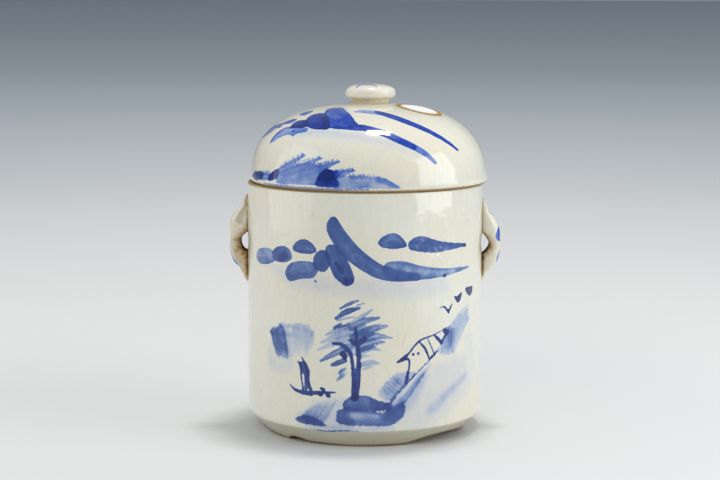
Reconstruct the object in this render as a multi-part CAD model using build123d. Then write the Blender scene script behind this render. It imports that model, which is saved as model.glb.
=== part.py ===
from build123d import *
import os
from math import asin, cos, pi, radians, sin

# Lidded porcelain jar, in millimetres.  +Z is up, the origin is on the table under the jar's axis,
# the two side lugs lie along X and the painted front faces -Y.

# ---- jar ----------------------------------------------------------------------------------------
JAR_RADIUS = 60.0            # outside of the cylindrical wall
WALL = 5.0                   # thickness of the wall
RIM_Z = 127.0                # flat rim that the lid rests on
RIM_EASE = 0.8               # rounding of the rim's two corners
CHAMFER_Z = 9.5              # where the wall turns in to the foot
FOOT_RADIUS = 50.5           # outer edge of the foot where it stands
FOOT_BORE = 46.0             # inside of the foot
FLOOR = 4.5                  # thickness of the floor disc
FLOOR_RADIUS = 52.0          # the disc sits in a rebate of the foot
ARCH_START = 30.0            # how far from the axis an arch's cutter starts
ARCH_LENGTH = 40.0

# Arches cut in the foot: direction of the middle in degrees from the front, half width, height.
FOOT_ARCHES = [(53.0, 25.0, 4.2), (-40.0, 7.0, 2.0), (158.0, 24.0, 4.0), (-99.0, 19.0, 3.0)]

# ---- lugs ---------------------------------------------------------------------------------------
LUG_REACH = 69.4             # outermost point of a lug, from the jar's axis
LUG_ROOT = 57.0              # lugs start inside the wall and are trimmed to it
LUG_FOOT_Z = 74.0            # lower end of the tail
LUG_HOLE_REACH = 3.5         # how far the hole stands off the wall
LUG_HOLE_HALF_HEIGHT = 4.7
LEFT_LUG = {"side": -1, "tip_z": 120.0, "hole_z": 95.8}
RIGHT_LUG = {"side": 1, "tip_z": 118.0, "hole_z": 95.0}

# ---- lid ----------------------------------------------------------------------------------------
LID_OFFSET = 1.9             # the loose lid lies a little off the jar's axis, along X
LID_RADIUS = 60.7            # widest part of the dome
LID_BASE_Z = 125.2           # level where the dome's curve would be vertical
LID_RISE = 41.4              # from that level to the top of the dome
LID_SIDE_POWER = 2.76        # the dome is a superellipse: how square its side is
LID_TOP_POWER = 2.41         # and how square its top is
LID_EDGE_Z = 130.0           # below this the dome's lower edge is rounded in
LID_TUCK = 0.7               # how far that edge turns in
LID_BORE = 56.2              # inside of the dome, straight up to LID_EDGE_Z
LID_INNER_TOP_Z = 162.0      # underside of the dome at the axis
CURVE_STEPS = 12             # points on each dome curve

FLANGE_RADIUS = 52.0         # locating collar under the lid, loose in the jar's mouth
FLANGE_BORE = 48.6
FLANGE_FOOT_Z = 118.4        # lower edge of the collar

KNOB_OFFSET = 2.6            # the knob was stuck on a little off the lid's axis
KNOB_RADIUS = 13.0
KNOB_NECK = 9.5
KNOB_FLARE = 12.7            # where the neck spreads onto the dome
KNOB_BASE_Z = 164.5          # buried end of the neck, trimmed to the dome
KNOB_FLARE_Z = 166.5
KNOB_NECK_Z = 168.1
KNOB_UNDER_Z = 169.5
KNOB_UNDER_RADIUS = 11.0     # where the neck opens into the underside of the button
KNOB_WIDEST_Z = 172.1
KNOB_SHOULDER = (12.2, 174.0)
KNOB_CROWN = (8.4, 175.9)
KNOB_TOP_Z = 176.6

LABEL_CENTRE = (27.0, -11.3)
LABEL_RADIUS = 11.8          # round paper label on the dome, seen from above
LABEL_THICKNESS = 0.25


def cylinder(radius, low, high, axis_x=0.0):
    """Upright cylinder between two heights."""
    on_base = (Align.CENTER, Align.CENTER, Align.MIN)
    return Pos(axis_x, 0, low) * Cylinder(radius, high - low, align=on_base)


def turned(edges, axis_x=0.0):
    """Solid of revolution about a vertical axis, from edges drawn as (radius, height)."""
    face = Plane.XZ * make_face(edges)
    return Pos(axis_x, 0, 0) * revolve(face, Axis.Z, 360)


# ---- jar ----------------------------------------------------------------------------------------
def jar_wall():
    """Straight wall with an eased rim."""
    wall = cylinder(JAR_RADIUS, CHAMFER_Z, RIM_Z) - cylinder(JAR_RADIUS - WALL, CHAMFER_Z, RIM_Z)
    rim = wall.edges().filter_by(GeomType.CIRCLE).group_by(Axis.Z)[-1]
    return fillet(rim, RIM_EASE)


def base_disc():
    """Flat floor of the jar."""
    return cylinder(FLOOR_RADIUS, CHAMFER_Z - FLOOR, CHAMFER_Z)


def foot_arch(middle, half_width, height):
    """Cutter for one arch: a lopsided hump pushed straight out through the foot."""
    angle = radians(middle)
    outward = Vector(sin(angle), -cos(angle), 0)
    along = Vector(cos(angle), sin(angle), 0)
    view = Plane(origin=outward * ARCH_START, x_dir=along, z_dir=outward)
    hump = Bezier(
        (-half_width, 0), (-0.55 * half_width, 1.5 * height), (0.1 * half_width, 1.15 * height), (half_width, 0)
    )
    skirt = Polyline((half_width, 0), (half_width, -1), (-half_width, -1), (-half_width, 0))
    return extrude(view * make_face([hump, skirt]), ARCH_LENGTH)


def foot_ring():
    """Turned foot: a cone outside, a bore and a rebate for the floor inside, arches below."""
    rebate_z = CHAMFER_Z - FLOOR
    foot = turned(
        Polyline(
            (FOOT_BORE, 0), (FOOT_RADIUS, 0), (JAR_RADIUS, CHAMFER_Z), (FLOOR_RADIUS, CHAMFER_Z),
            (FLOOR_RADIUS, rebate_z), (FOOT_BORE, rebate_z), (FOOT_BORE, 0),
        )
    )
    for arch in FOOT_ARCHES:
        foot -= foot_arch(*arch)
    return foot


# ---- lugs ---------------------------------------------------------------------------------------
def lug(side, tip_z, hole_z):
    """Ear-shaped lug: a thin leaf on the wall above, a pierced strap in the middle, a small tail.

    The lug is what its side view and its front view have in common, less the hole and the wall.
    """
    outline = Spline(
        (LUG_ROOT, tip_z + 0.6), (62.1, tip_z - 2.6), (63.6, 113.4), (66.4, 110.6), (68.9, 105.0),
        (LUG_REACH, 97.0), (69.1, 90.5), (67.0, 84.8), (63.6, 80.9), (61.7, 77.2), (LUG_ROOT, LUG_FOOT_Z - 0.6),
    )
    back = Line((LUG_ROOT, LUG_FOOT_Z - 0.6), (LUG_ROOT, tip_z + 0.6))
    side_view = extrude(Plane.XZ * make_face([outline, back]), 2 * LUG_REACH, both=True)

    right = [(3.2, 116.5), (5.6, 112.5), (7.2, 105.0), (6.5, 96.0), (6.9, 89.0), (5.8, 82.0), (3.2, 76.5)]
    left = [(-y, z) for y, z in reversed(right)]
    leaf = Spline((0, tip_z + 1), *right, (0, LUG_FOOT_Z - 1), *left, periodic=True)
    front_view = extrude(Plane.YZ * make_face(leaf), 2 * LUG_REACH)

    hole_face = Pos(JAR_RADIUS, hole_z) * Ellipse(LUG_HOLE_REACH, LUG_HOLE_HALF_HEIGHT)
    hole = extrude(Plane.XZ * hole_face, LUG_REACH, both=True)
    ear = (side_view & front_view) - hole - cylinder(JAR_RADIUS, CHAMFER_Z, RIM_Z)
    return ear if side > 0 else mirror(ear, Plane.YZ)


# ---- lid ----------------------------------------------------------------------------------------
def dome_curve(radius, base_z, rise, from_z):
    """Superellipse from height from_z up to the axis, as a spline level at the top."""
    first = asin(((from_z - base_z) / rise) ** (LID_TOP_POWER / 2))
    points = []
    for i in range(CURVE_STEPS):
        angle = first + (pi / 2 - first) * i / CURVE_STEPS
        r = radius * cos(angle) ** (2 / LID_SIDE_POWER)
        points.append((r, base_z + rise * sin(angle) ** (2 / LID_TOP_POWER)))
    return Spline(*points, (0, base_z + rise))


def dome_solid(extra=0.0):
    """The dome without its hollow, its outside standing proud by extra."""
    curve = dome_curve(LID_RADIUS + extra, LID_BASE_Z, LID_RISE + extra, LID_EDGE_Z)
    edge_r = (curve @ 0).X
    tuck = ThreePointArc((edge_r - LID_TUCK, RIM_Z), (edge_r - LID_TUCK / 4, RIM_Z + 1.4), curve @ 0)
    base = Polyline((0, LID_BASE_Z + LID_RISE + extra), (0, RIM_Z), (edge_r - LID_TUCK, RIM_Z))
    return turned([curve, tuck, base], LID_OFFSET)


def lid_dome():
    """Domed shell, open below, with a straight bore that takes the collar."""
    inner_rise = LID_INNER_TOP_Z - LID_EDGE_Z
    curve = dome_curve(LID_BORE, LID_EDGE_Z, inner_rise, LID_EDGE_Z)
    base = Polyline((0, LID_INNER_TOP_Z), (0, RIM_Z - 1), (LID_BORE, RIM_Z - 1), (LID_BORE, LID_EDGE_Z))
    return dome_solid() - turned([curve, base], LID_OFFSET)


def lid_flange():
    """Locating collar: a shelf in the dome's bore and a skirt that drops into the jar's mouth."""
    return turned(
        Polyline(
            (FLANGE_BORE, FLANGE_FOOT_Z), (FLANGE_RADIUS, FLANGE_FOOT_Z), (FLANGE_RADIUS, RIM_Z),
            (LID_BORE, RIM_Z), (LID_BORE, LID_EDGE_Z), (FLANGE_BORE, LID_EDGE_Z), (FLANGE_BORE, FLANGE_FOOT_Z),
        ),
        LID_OFFSET,
    )


def lid_knob():
    """Button knob on a short waisted neck, trimmed to the dome it sits on."""
    under = (KNOB_UNDER_RADIUS, KNOB_UNDER_Z)
    neck = Spline((KNOB_FLARE, KNOB_FLARE_Z), (KNOB_NECK, KNOB_NECK_Z), under)
    brim = Spline(under, (KNOB_RADIUS, KNOB_WIDEST_Z), KNOB_SHOULDER, KNOB_CROWN, (0, KNOB_TOP_Z))
    base = Polyline((0, KNOB_TOP_Z), (0, KNOB_BASE_Z), (KNOB_FLARE, KNOB_BASE_Z), (KNOB_FLARE, KNOB_FLARE_Z))
    return turned([neck, brim, base], KNOB_OFFSET) - dome_solid()


def paper_label():
    """Thin round label that follows the dome."""
    x, y = LABEL_CENTRE
    column = Pos(x, y, 0) * cylinder(LABEL_RADIUS, RIM_Z, KNOB_TOP_Z)
    return (dome_solid(LABEL_THICKNESS) & column) - dome_solid()


# ---- all pieces ---------------------------------------------------------------------------------
NODES = {
    "jar_wall": jar_wall(),
    "base_disc": base_disc(),
    "foot_ring": foot_ring(),
    "left_lug": lug(**LEFT_LUG),
    "right_lug": lug(**RIGHT_LUG),
    "lid_dome": lid_dome(),
    "lid_flange": lid_flange(),
    "lid_knob": lid_knob(),
    "paper_label": paper_label(),
}

os.makedirs("parts", exist_ok=True)
for name, shape in NODES.items():
    export_step(shape, f"parts/{name}.step")
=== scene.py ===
"""Looks of a lidded blue-and-white porcelain jar: clay, glaze, brushwork, paper label and studio."""

import logging
import math
from dataclasses import dataclass
from enum import Enum
from typing import Callable

import bpy
import numpy as np
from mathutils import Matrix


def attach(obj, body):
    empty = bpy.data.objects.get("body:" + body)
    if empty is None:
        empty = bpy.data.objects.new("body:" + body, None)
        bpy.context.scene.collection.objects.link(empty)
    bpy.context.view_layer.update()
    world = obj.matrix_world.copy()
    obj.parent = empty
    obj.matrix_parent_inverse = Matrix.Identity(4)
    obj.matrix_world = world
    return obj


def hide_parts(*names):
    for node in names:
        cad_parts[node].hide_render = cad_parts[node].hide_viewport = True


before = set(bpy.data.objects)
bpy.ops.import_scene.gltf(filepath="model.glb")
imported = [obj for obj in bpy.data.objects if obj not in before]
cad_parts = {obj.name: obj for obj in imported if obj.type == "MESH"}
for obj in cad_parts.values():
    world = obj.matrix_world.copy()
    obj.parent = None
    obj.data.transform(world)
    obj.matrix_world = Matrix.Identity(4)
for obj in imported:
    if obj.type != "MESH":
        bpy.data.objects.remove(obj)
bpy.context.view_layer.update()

MM = 0.001
FRONT_STEP = 0.55  # millimetres between the columns of a painted front
BACK_STEP_DEG = 2.5  # degrees between the columns behind it
SLIT = 0.03  # millimetres between two rows that keep an edge crisp
FAR_FROM_INK = -3.0  # inset of a place that no brush has come near
UNPAINTED = -999.0  # own coordinate of a vertex that no blot fills
log = logging.getLogger("jar")

Array = np.ndarray
Piece = bpy.types.Object
Material = bpy.types.Material
Place = Callable[[Array], Array]
Colour = tuple[float, float, float]
Outline = tuple[tuple[float, float], ...]


class Layer(Enum):
    """Names of the painted layers that a surface carries as attributes."""

    INK = "ink"
    EDGE = "ink_edge"
    WASH = "wash"
    GRAIN = "grain"
    BARE = "bare"
    STAIN = "stain"


class Touch(Enum):
    """How a brush mark meets the clay."""

    CRISP = "crisp"
    SOFT = "soft"


class Facing(Enum):
    """Which way a light faces."""

    JAR = "jar"
    DOWN = "down"
    LEVEL = "level"


# ---- sizes --------------------------------------------------------------------------------------
@dataclass(frozen=True)
class JarSize:
    """Sizes of the jar's body in millimetres."""

    radius: float = 60.0
    bore: float = 55.0
    rim_z: float = 127.0
    glaze_top_z: float = 126.2  # the glaze ends here outside
    inner_glaze_z: float = 123.2  # and here inside
    chamfer_z: float = 9.5  # where the wall turns in to the foot
    foot_radius: float = 50.5
    foot_bore: float = 46.0
    floor_radius: float = 52.0
    floor: float = 4.5
    ease: float = 1.6  # height of the rounding over the chamfer
    swell: float = 0.15
    groove_radius: float = 57.6  # middle of the shallow groove in the rim
    groove_depth: float = 0.35


@dataclass(frozen=True)
class LidSize:
    """Sizes of the lid in millimetres."""

    offset: float = 1.9  # the loose lid lies off the jar's axis
    radius: float = 60.7
    base_z: float = 125.2  # where the dome's curve would be upright
    rise: float = 41.4
    side_power: float = 2.76  # how square the dome's side is
    top_power: float = 2.41  # and its top
    seat_z: float = 127.0
    edge_z: float = 130.0  # below this the dome is tucked in
    tuck: float = 0.7
    glaze_foot_z: float = 128.0
    bore: float = 56.2
    inner_top_z: float = 162.0
    flange_radius: float = 52.0
    flange_bore: float = 48.6
    flange_foot_z: float = 118.4


@dataclass(frozen=True)
class KnobSize:
    """Where the knob stands and how wide it is, in millimetres."""

    axis_x: float = 2.6
    radius: float = 13.0


@dataclass(frozen=True)
class LabelSize:
    """Sizes of the paper label in millimetres, seen from above."""

    centre: tuple[float, float] = (27.0, -11.3)
    radius: float = 11.8
    over: float = 0.19  # its face over the dome
    under: float = 0.06  # its back below the dome
    lift: float = 0.06  # how far its edge curls up


JAR = JarSize()
LID = LidSize()
KNOB = KnobSize()


# ---- curves and grids ---------------------------------------------------------------------------
def smooth(points: Array, closed: bool = False, per_span: int = 6) -> Array:
    """Carry a Catmull-Rom curve through points of any number of columns.

    Each span is the cubic whose ends are two neighbouring points and whose slopes there are half
    the step between the points on either side.

    Args:
        points: one row for each point.
        closed: whether the curve returns to its first point.
        per_span: how many samples each span gets.

    Returns:
        The samples, one row each.
    """
    p = np.asarray(points, float)
    if closed:
        q = np.vstack([p[-1:], p, p[:2]])
    else:
        q = np.vstack([2 * p[:1] - p[1:2], p, 2 * p[-1:] - p[-2:-1]])
    a, b, c, d = q[:-3, None], q[1:-2, None], q[2:-1, None], q[3:, None]
    t = np.linspace(0, 1, per_span, endpoint=False)[None, :, None]
    curve = 0.5 * (2 * b + (c - a) * t + (2 * a - 5 * b + 4 * c - d) * t**2 + (3 * b - a - 3 * c + d) * t**3)
    curve = curve.reshape(-1, p.shape[1])
    return curve if closed else np.vstack([curve, p[-1:]])


def smoothstep(low: float, high: float, x: Array) -> Array:
    """Rise from 0 at low to 1 at high along a cubic that is level at both ends."""
    t = np.clip((x - low) / (high - low), 0.0, 1.0)
    return t * t * (3 - 2 * t)


def ripple(u: Array, v: Array, seed: int, waves: int = 7, reach: float = 4.0) -> Array:
    """Smooth unevenness between about -1 and 1: a sum of sine waves of random direction and phase.

    Args:
        u: first coordinate, in radians round the piece so that it closes on itself.
        v: second coordinate, in radians.
        seed: makes one piece differ from another.
        waves: how many waves are summed.
        reach: highest number of waves in a turn.

    Returns:
        The height of the sum at each place.
    """
    rng = np.random.default_rng(seed)
    total = np.zeros(np.broadcast(u, v).shape)
    for _ in range(waves):
        along = int(rng.integers(0, int(reach) + 1))
        up = rng.uniform(-reach, reach)
        total = total + np.sin(along * u + up * v + rng.uniform(0, 2 * math.pi))
    return total / math.sqrt(waves)


def front_angles(half_front: float, radius: float) -> Array:
    """Angles round a piece, in radians from the front: close together in front, wide apart behind.

    Args:
        half_front: half of the finely divided stretch, in degrees.
        radius: radius that the fine step is measured at, in millimetres.

    Returns:
        Angles that rise through one turn, the last one short of the first.
    """
    fine = int(math.radians(2 * half_front) * radius / FRONT_STEP)
    coarse = int((360 - 2 * half_front) / BACK_STEP_DEG)
    front = np.linspace(-half_front, half_front, fine)
    back = np.linspace(half_front, 360 - half_front, coarse + 2)[1:-1]
    return np.radians(np.concatenate([front, back]))


def turn(radius: Array, height: Array, angle: Array, axis_x: float = 0.0) -> Array:
    """Carry a profile round a vertical axis: x = axis + r sin(angle), y = -r cos(angle), z = height.

    Args:
        radius: distance from the axis, one row of the grid or the whole grid.
        height: height, in the same form.
        angle: angle from the front for each column.
        axis_x: where the axis stands along X.

    Returns:
        Points of shape (profile, angle, 3), in millimetres.
    """
    shape = (len(radius), len(angle))
    r = np.broadcast_to(radius if np.ndim(radius) == 2 else np.asarray(radius)[:, None], shape)
    z = np.broadcast_to(height if np.ndim(height) == 2 else np.asarray(height)[:, None], shape)
    return np.stack([axis_x + r * np.sin(angle), -r * np.cos(angle), z], axis=-1)


def closed_surface(name: str, grid: Array, rows_close: bool, poles: bool) -> Piece:
    """Make one closed mesh from a grid whose columns always close on themselves.

    Args:
        name: name of the new object.
        grid: points of shape (rows, columns, 3), in millimetres.
        rows_close: whether the last row joins the first, as on a ring.
        poles: whether the first and last rows are each gathered into one point.

    Returns:
        The new object, smooth, with its faces outwards.
    """
    rows, cols = grid.shape[:2]
    points = grid.reshape(-1, 3) * MM
    index = np.arange(rows * cols).reshape(rows, cols)
    below = index if rows_close else index[:-1]
    above = np.roll(index, -1, axis=0) if rows_close else index[1:]
    quads = np.stack([below, np.roll(below, -1, 1), np.roll(above, -1, 1), above], axis=-1).reshape(-1, 4)
    corners = [quads.ravel()]
    sizes = [np.full(len(quads), 4)]
    if poles:
        points = np.vstack([points, grid[0].mean(0) * MM, grid[-1].mean(0) * MM])
        start, end = rows * cols, rows * cols + 1
        first = np.stack([np.roll(index[0], -1), index[0], np.full(cols, start)], -1)
        last = np.stack([index[-1], np.roll(index[-1], -1), np.full(cols, end)], -1)
        corners += [first.ravel(), last.ravel()]
        sizes += [np.full(2 * cols, 3)]
    loops = np.concatenate(corners)
    totals = np.concatenate(sizes)
    starts = np.concatenate([[0], np.cumsum(totals)[:-1]])
    a, b, c = points[loops[starts]], points[loops[starts + 1]], points[loops[starts + 2]]
    d = points[loops[starts + totals - 1]]
    volume = (a * np.cross(b, c)).sum() + (a * np.cross(c, d)).sum()
    if volume < 0:
        ends = starts + totals - 1
        place = np.repeat(starts + ends, totals) - np.arange(len(loops))
        loops = loops[place]
    mesh = bpy.data.meshes.new(name)
    mesh.vertices.add(len(points))
    mesh.vertices.foreach_set("co", points.astype(np.float32).ravel())
    mesh.loops.add(len(loops))
    mesh.loops.foreach_set("vertex_index", loops.astype(np.int32))
    mesh.polygons.add(len(starts))
    mesh.polygons.foreach_set("loop_start", starts.astype(np.int32))
    mesh.polygons.foreach_set("use_smooth", np.ones(len(starts), dtype=bool))
    mesh.update(calc_edges=True)
    mesh.validate()
    obj = bpy.data.objects.new(name, mesh)
    bpy.context.collection.objects.link(obj)
    return obj


def put_layer(obj: Piece, layer: Layer, values: Array) -> None:
    """Store one value, or one vector, for each vertex as a named attribute.

    Args:
        obj: the piece.
        layer: which layer the values belong to.
        values: one row for each vertex; poles left out are filled with the last row.
    """
    mesh = obj.data
    missing = len(mesh.vertices) - len(values)
    if missing:
        values = np.concatenate([values, np.repeat(values[-1:], missing, axis=0)])
    vector = values.ndim == 2
    attribute = mesh.attributes.new(layer.value, "FLOAT_VECTOR" if vector else "FLOAT", "POINT")
    attribute.data.foreach_set("vector" if vector else "value", values.astype(np.float32).ravel())


# ---- brushwork ----------------------------------------------------------------------------------
@dataclass(frozen=True)
class Stroke:
    """One pull of a loaded brush along a curve.

    path holds (across, up, width) in the surface's own coordinates and millimetres of width. tone is
    the density, tail its share at the far end, blur the softness of the edge in millimetres, dry the
    strength of the hairs' streaks and pool how much darker the edge is than the middle.
    """

    path: tuple[tuple[float, float, float], ...]
    tone: float = 0.5
    tail: float = 1.0
    blur: float = 1.0
    dry: float = 0.3
    pool: float = 0.12
    touch: Touch = Touch.CRISP


@dataclass(frozen=True)
class Blot:
    """A shape filled with the brush, bounded by a smooth closed outline."""

    outline: Outline
    tone: float = 0.5
    blur: float = 1.0
    dry: float = 0.3
    pool: float = 0.12
    touch: Touch = Touch.CRISP


@dataclass(frozen=True)
class Hatch:
    """A row of short dry strokes laid side by side, from a line of roots to a line of tips."""

    roots: Outline
    tips: Outline
    count: int
    width: float
    tone: float = 0.4
    tail: float = 0.5
    scatter: float = 0.8
    seed: int = 1
    blur: float = 1.0
    dry: float = 0.8

    def strokes(self) -> list[Stroke]:
        """Space the strokes evenly along both lines, each a little off its place.

        Returns:
            The strokes, thin at both ends.
        """
        rng = np.random.default_rng(self.seed)
        share = (np.arange(self.count) + 0.5) / self.count
        root = self._along(self.roots, share) + rng.normal(0, self.scatter, (self.count, 2))
        tip = self._along(self.tips, share) + rng.normal(0, self.scatter, (self.count, 2))
        bow = rng.normal(0, self.scatter * 0.4, (self.count, 2))
        width = self.width * rng.uniform(0.75, 1.25, self.count)
        tone = self.tone * rng.uniform(0.8, 1.15, self.count)
        made = []
        for r, t, b, w, k in zip(root, tip, bow, width, tone):
            middle = (r + t) / 2 + b
            path = ((*r, w * 0.8), (*middle, w), (*t, w * 0.35))
            made.append(Stroke(path, float(k), self.tail, self.blur, self.dry, 0.05))
        return made

    @staticmethod
    def _along(line: Outline, share: Array) -> Array:
        """Find points on a polyline.

        Args:
            line: its corners.
            share: shares of its length.

        Returns:
            One point for each share.
        """
        p = np.asarray(line, float)
        length = np.concatenate([[0], np.cumsum(np.hypot(*np.diff(p, axis=0).T))])
        at = share * length[-1]
        return np.stack([np.interp(at, length, p[:, 0]), np.interp(at, length, p[:, 1])], -1)


Mark = Stroke | Blot | Hatch


class Canvas:
    """The cobalt layers of one surface, worked out at its vertices.

    Distances are measured in space, so a mark has the same width wherever it lies. Crisp marks
    leave a density and the signed distance to the edge of what is painted; soft marks leave a wash.
    """

    pool_reach: float = 0.8  # millimetres over which the pigment pools at an edge
    pool_level: float = 0.35  # taken off the pooling, so that the middle is paler
    overlap: float = 0.2  # share of the thinner of two marks that adds to the thicker
    streak_shift: float = 7.0  # sets the streaks of one mark apart from the next

    def __init__(
        self, points: Array, flat: Array, place: Place, centre: tuple[float, float, float]
    ) -> None:
        """Take the surface's vertices.

        Args:
            points: vertices in millimetres, one row each.
            flat: the same vertices in the surface's own two coordinates.
            place: takes rows of those coordinates to points in millimetres.
            centre: a point inside the piece, used to tell left from right along a stroke.
        """
        self.points = points
        self.flat = flat
        self.place = place
        self.centre = np.asarray(centre)
        count = len(points)
        self.ink = np.zeros(count)
        self.edge = np.full(count, FAR_FROM_INK)
        self.wash = np.zeros(count)
        self.grain = np.zeros((count, 3))
        self.order = 0

    def paint(self, marks: list[Mark]) -> "Canvas":
        """Lay the marks on in order, later ones over earlier ones.

        Args:
            marks: strokes, blots and hatches.

        Returns:
            The canvas itself.
        """
        for mark in marks:
            for single in mark.strokes() if isinstance(mark, Hatch) else [mark]:
                self._lay(single)
        return self

    def _lay(self, mark: Stroke | Blot) -> None:
        """Lay one stroke or blot: find its signed distance, then its density.

        Args:
            mark: what is painted.
        """
        self.order += 1
        if isinstance(mark, Stroke):
            line = smooth(mark.path)
            half = line[:, 2] / 2
        else:
            line = smooth(mark.outline, closed=True)
            line = np.vstack([line, line[:1]])
            half = np.zeros(len(line))
        spine = self.place(line[:, :2])
        margin = half.max() + 1.0 + mark.blur
        near = np.all((self.points > spine.min(0) - margin) & (self.points < spine.max(0) + margin), axis=1)
        chosen = np.flatnonzero(near)
        if not len(chosen):
            return
        depth, along, across, share = self._distance(self.points[chosen], spine, half)
        if isinstance(mark, Blot):
            inside = self._inside(self.flat[chosen], line[:, :2])
            depth = np.where(inside, -depth, depth)
            fade = np.ones(len(chosen))
        else:
            fade = 1 + (mark.tail - 1) * share**1.5
        pooled = np.exp(-np.abs(depth) / self.pool_reach) - self.pool_level
        tone = mark.tone * fade * (1 + mark.pool * pooled)
        if mark.touch is Touch.SOFT:
            cover = np.clip(tone, 0, 1) * smoothstep(-mark.blur, mark.blur, depth)
            self.wash[chosen] = 1 - (1 - self.wash[chosen]) * (1 - cover)
            return
        cover = np.clip(tone, 0, 1) * smoothstep(-0.6 * mark.blur, -0.1, depth)
        under = self.ink[chosen]
        self.ink[chosen] = np.maximum(under, cover) + self.overlap * np.minimum(under, cover)
        inset = np.clip(depth / mark.blur, FAR_FROM_INK, -FAR_FROM_INK)
        self.edge[chosen] = np.maximum(self.edge[chosen], inset)
        kept = depth > -0.5 * mark.blur
        top = chosen[kept]
        hairs = np.stack([across[kept], along[kept]], -1) * mark.dry
        self.grain[top] = np.column_stack([hairs, np.full(kept.sum(), self.order * self.streak_shift)])

    def _distance(self, p: Array, spine: Array, half: Array) -> tuple[Array, ...]:
        """Signed distance to a line with a width: half width less the distance, greatest over its pieces.

        Args:
            p: points to measure from.
            spine: points of the line.
            half: half of the width at each of them.

        Returns:
            The distance inside the edge, the length along, the signed offset across, and the share
            of the whole length, for each point.
        """
        steps = np.diff(spine, axis=0)
        lengths = np.maximum(np.linalg.norm(steps, axis=1), 1e-6)
        before = np.concatenate([[0], np.cumsum(lengths)])
        best = np.full(len(p), -1e9)
        along = np.zeros(len(p))
        across = np.zeros(len(p))
        outward = p - self.centre
        outward /= np.linalg.norm(outward, axis=1, keepdims=True)
        for a, step, length, start, h0, h1 in zip(spine, steps, lengths, before, half, half[1:]):
            offset = p - a
            t = np.clip(offset @ step / length**2, 0, 1)
            gap = offset - t[:, None] * step
            away = np.linalg.norm(gap, axis=1)
            depth = h0 + (h1 - h0) * t - away
            better = depth > best
            side = np.sign((np.cross(step, outward) * gap).sum(1))
            best = np.where(better, depth, best)
            along = np.where(better, start + t * length, along)
            across = np.where(better, side * away, across)
        return best, along, across, along / before[-1]

    @staticmethod
    def _inside(p: Array, outline: Array) -> Array:
        """Count crossings of a ray to the right: an odd number means that a point is inside.

        Args:
            p: points, one row each.
            outline: corners of a closed line, the last the same as the first.

        Returns:
            Whether each point is inside.
        """
        inside = np.zeros(len(p), dtype=bool)
        for (x0, y0), (x1, y1) in zip(outline, outline[1:]):
            if y0 == y1:
                continue
            spans = (y0 > p[:, 1]) != (y1 > p[:, 1])
            crossing = x0 + (p[:, 1] - y0) * (x1 - x0) / (y1 - y0)
            inside ^= spans & (p[:, 0] < crossing)
        return inside

    def store(self, obj: Piece) -> None:
        """Write the four layers to the piece.

        Args:
            obj: the piece, whose vertices the canvas was made from.
        """
        put_layer(obj, Layer.INK, self.ink)
        put_layer(obj, Layer.EDGE, self.edge)
        put_layer(obj, Layer.WASH, self.wash)
        put_layer(obj, Layer.GRAIN, self.grain)


# ---- the painted landscape ----------------------------------------------------------------------
# Across is millimetres round the wall from the front, up is millimetres above the table.
JAR_WASHES: list[Mark] = [
    Blot(((-54, 90), (-40, 80), (-8, 76), (24, 75), (44, 77), (40, 84), (0, 86),
        (-30, 87)), 0.1, 4, touch=Touch.SOFT),
    Blot(((-57, 41), (-54, 50), (-46, 52), (-38, 46), (-38, 38), (-46, 35),
        (-54, 36)), 0.09, 1.6, touch=Touch.SOFT),
    Blot(((-36, 14), (-29, 20), (-22, 24.4), (-10, 26), (-10, 20), (-6, 12),
        (-20, 10.5)), 0.14, 2, touch=Touch.SOFT),
    Blot(((31, 37), (45, 43), (60, 42), (62, 30), (50, 18), (34, 11), (20, 10.5),
        (14, 18)), 0.1, 4, touch=Touch.SOFT),
    Stroke(((59, 32.5, 2.4), (46, 26, 4.6), (34, 18, 4.6)), 0.17, 0.8, 2.4, touch=Touch.SOFT),
    Stroke(((62, 52, 4), (68, 36, 5), (60, 22, 5)), 0.08, 0.8, 4, touch=Touch.SOFT),
    Stroke(((30, 36, 4), (24, 26, 5), (14, 17, 5), (4, 12, 3)), 0.16, 0.8, 3, touch=Touch.SOFT),
    Stroke(((-30, 10.6, 1.6), (-8, 10.8, 2.4), (14, 11, 1.6)), 0.16, 1, 1.5, touch=Touch.SOFT),
]
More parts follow.
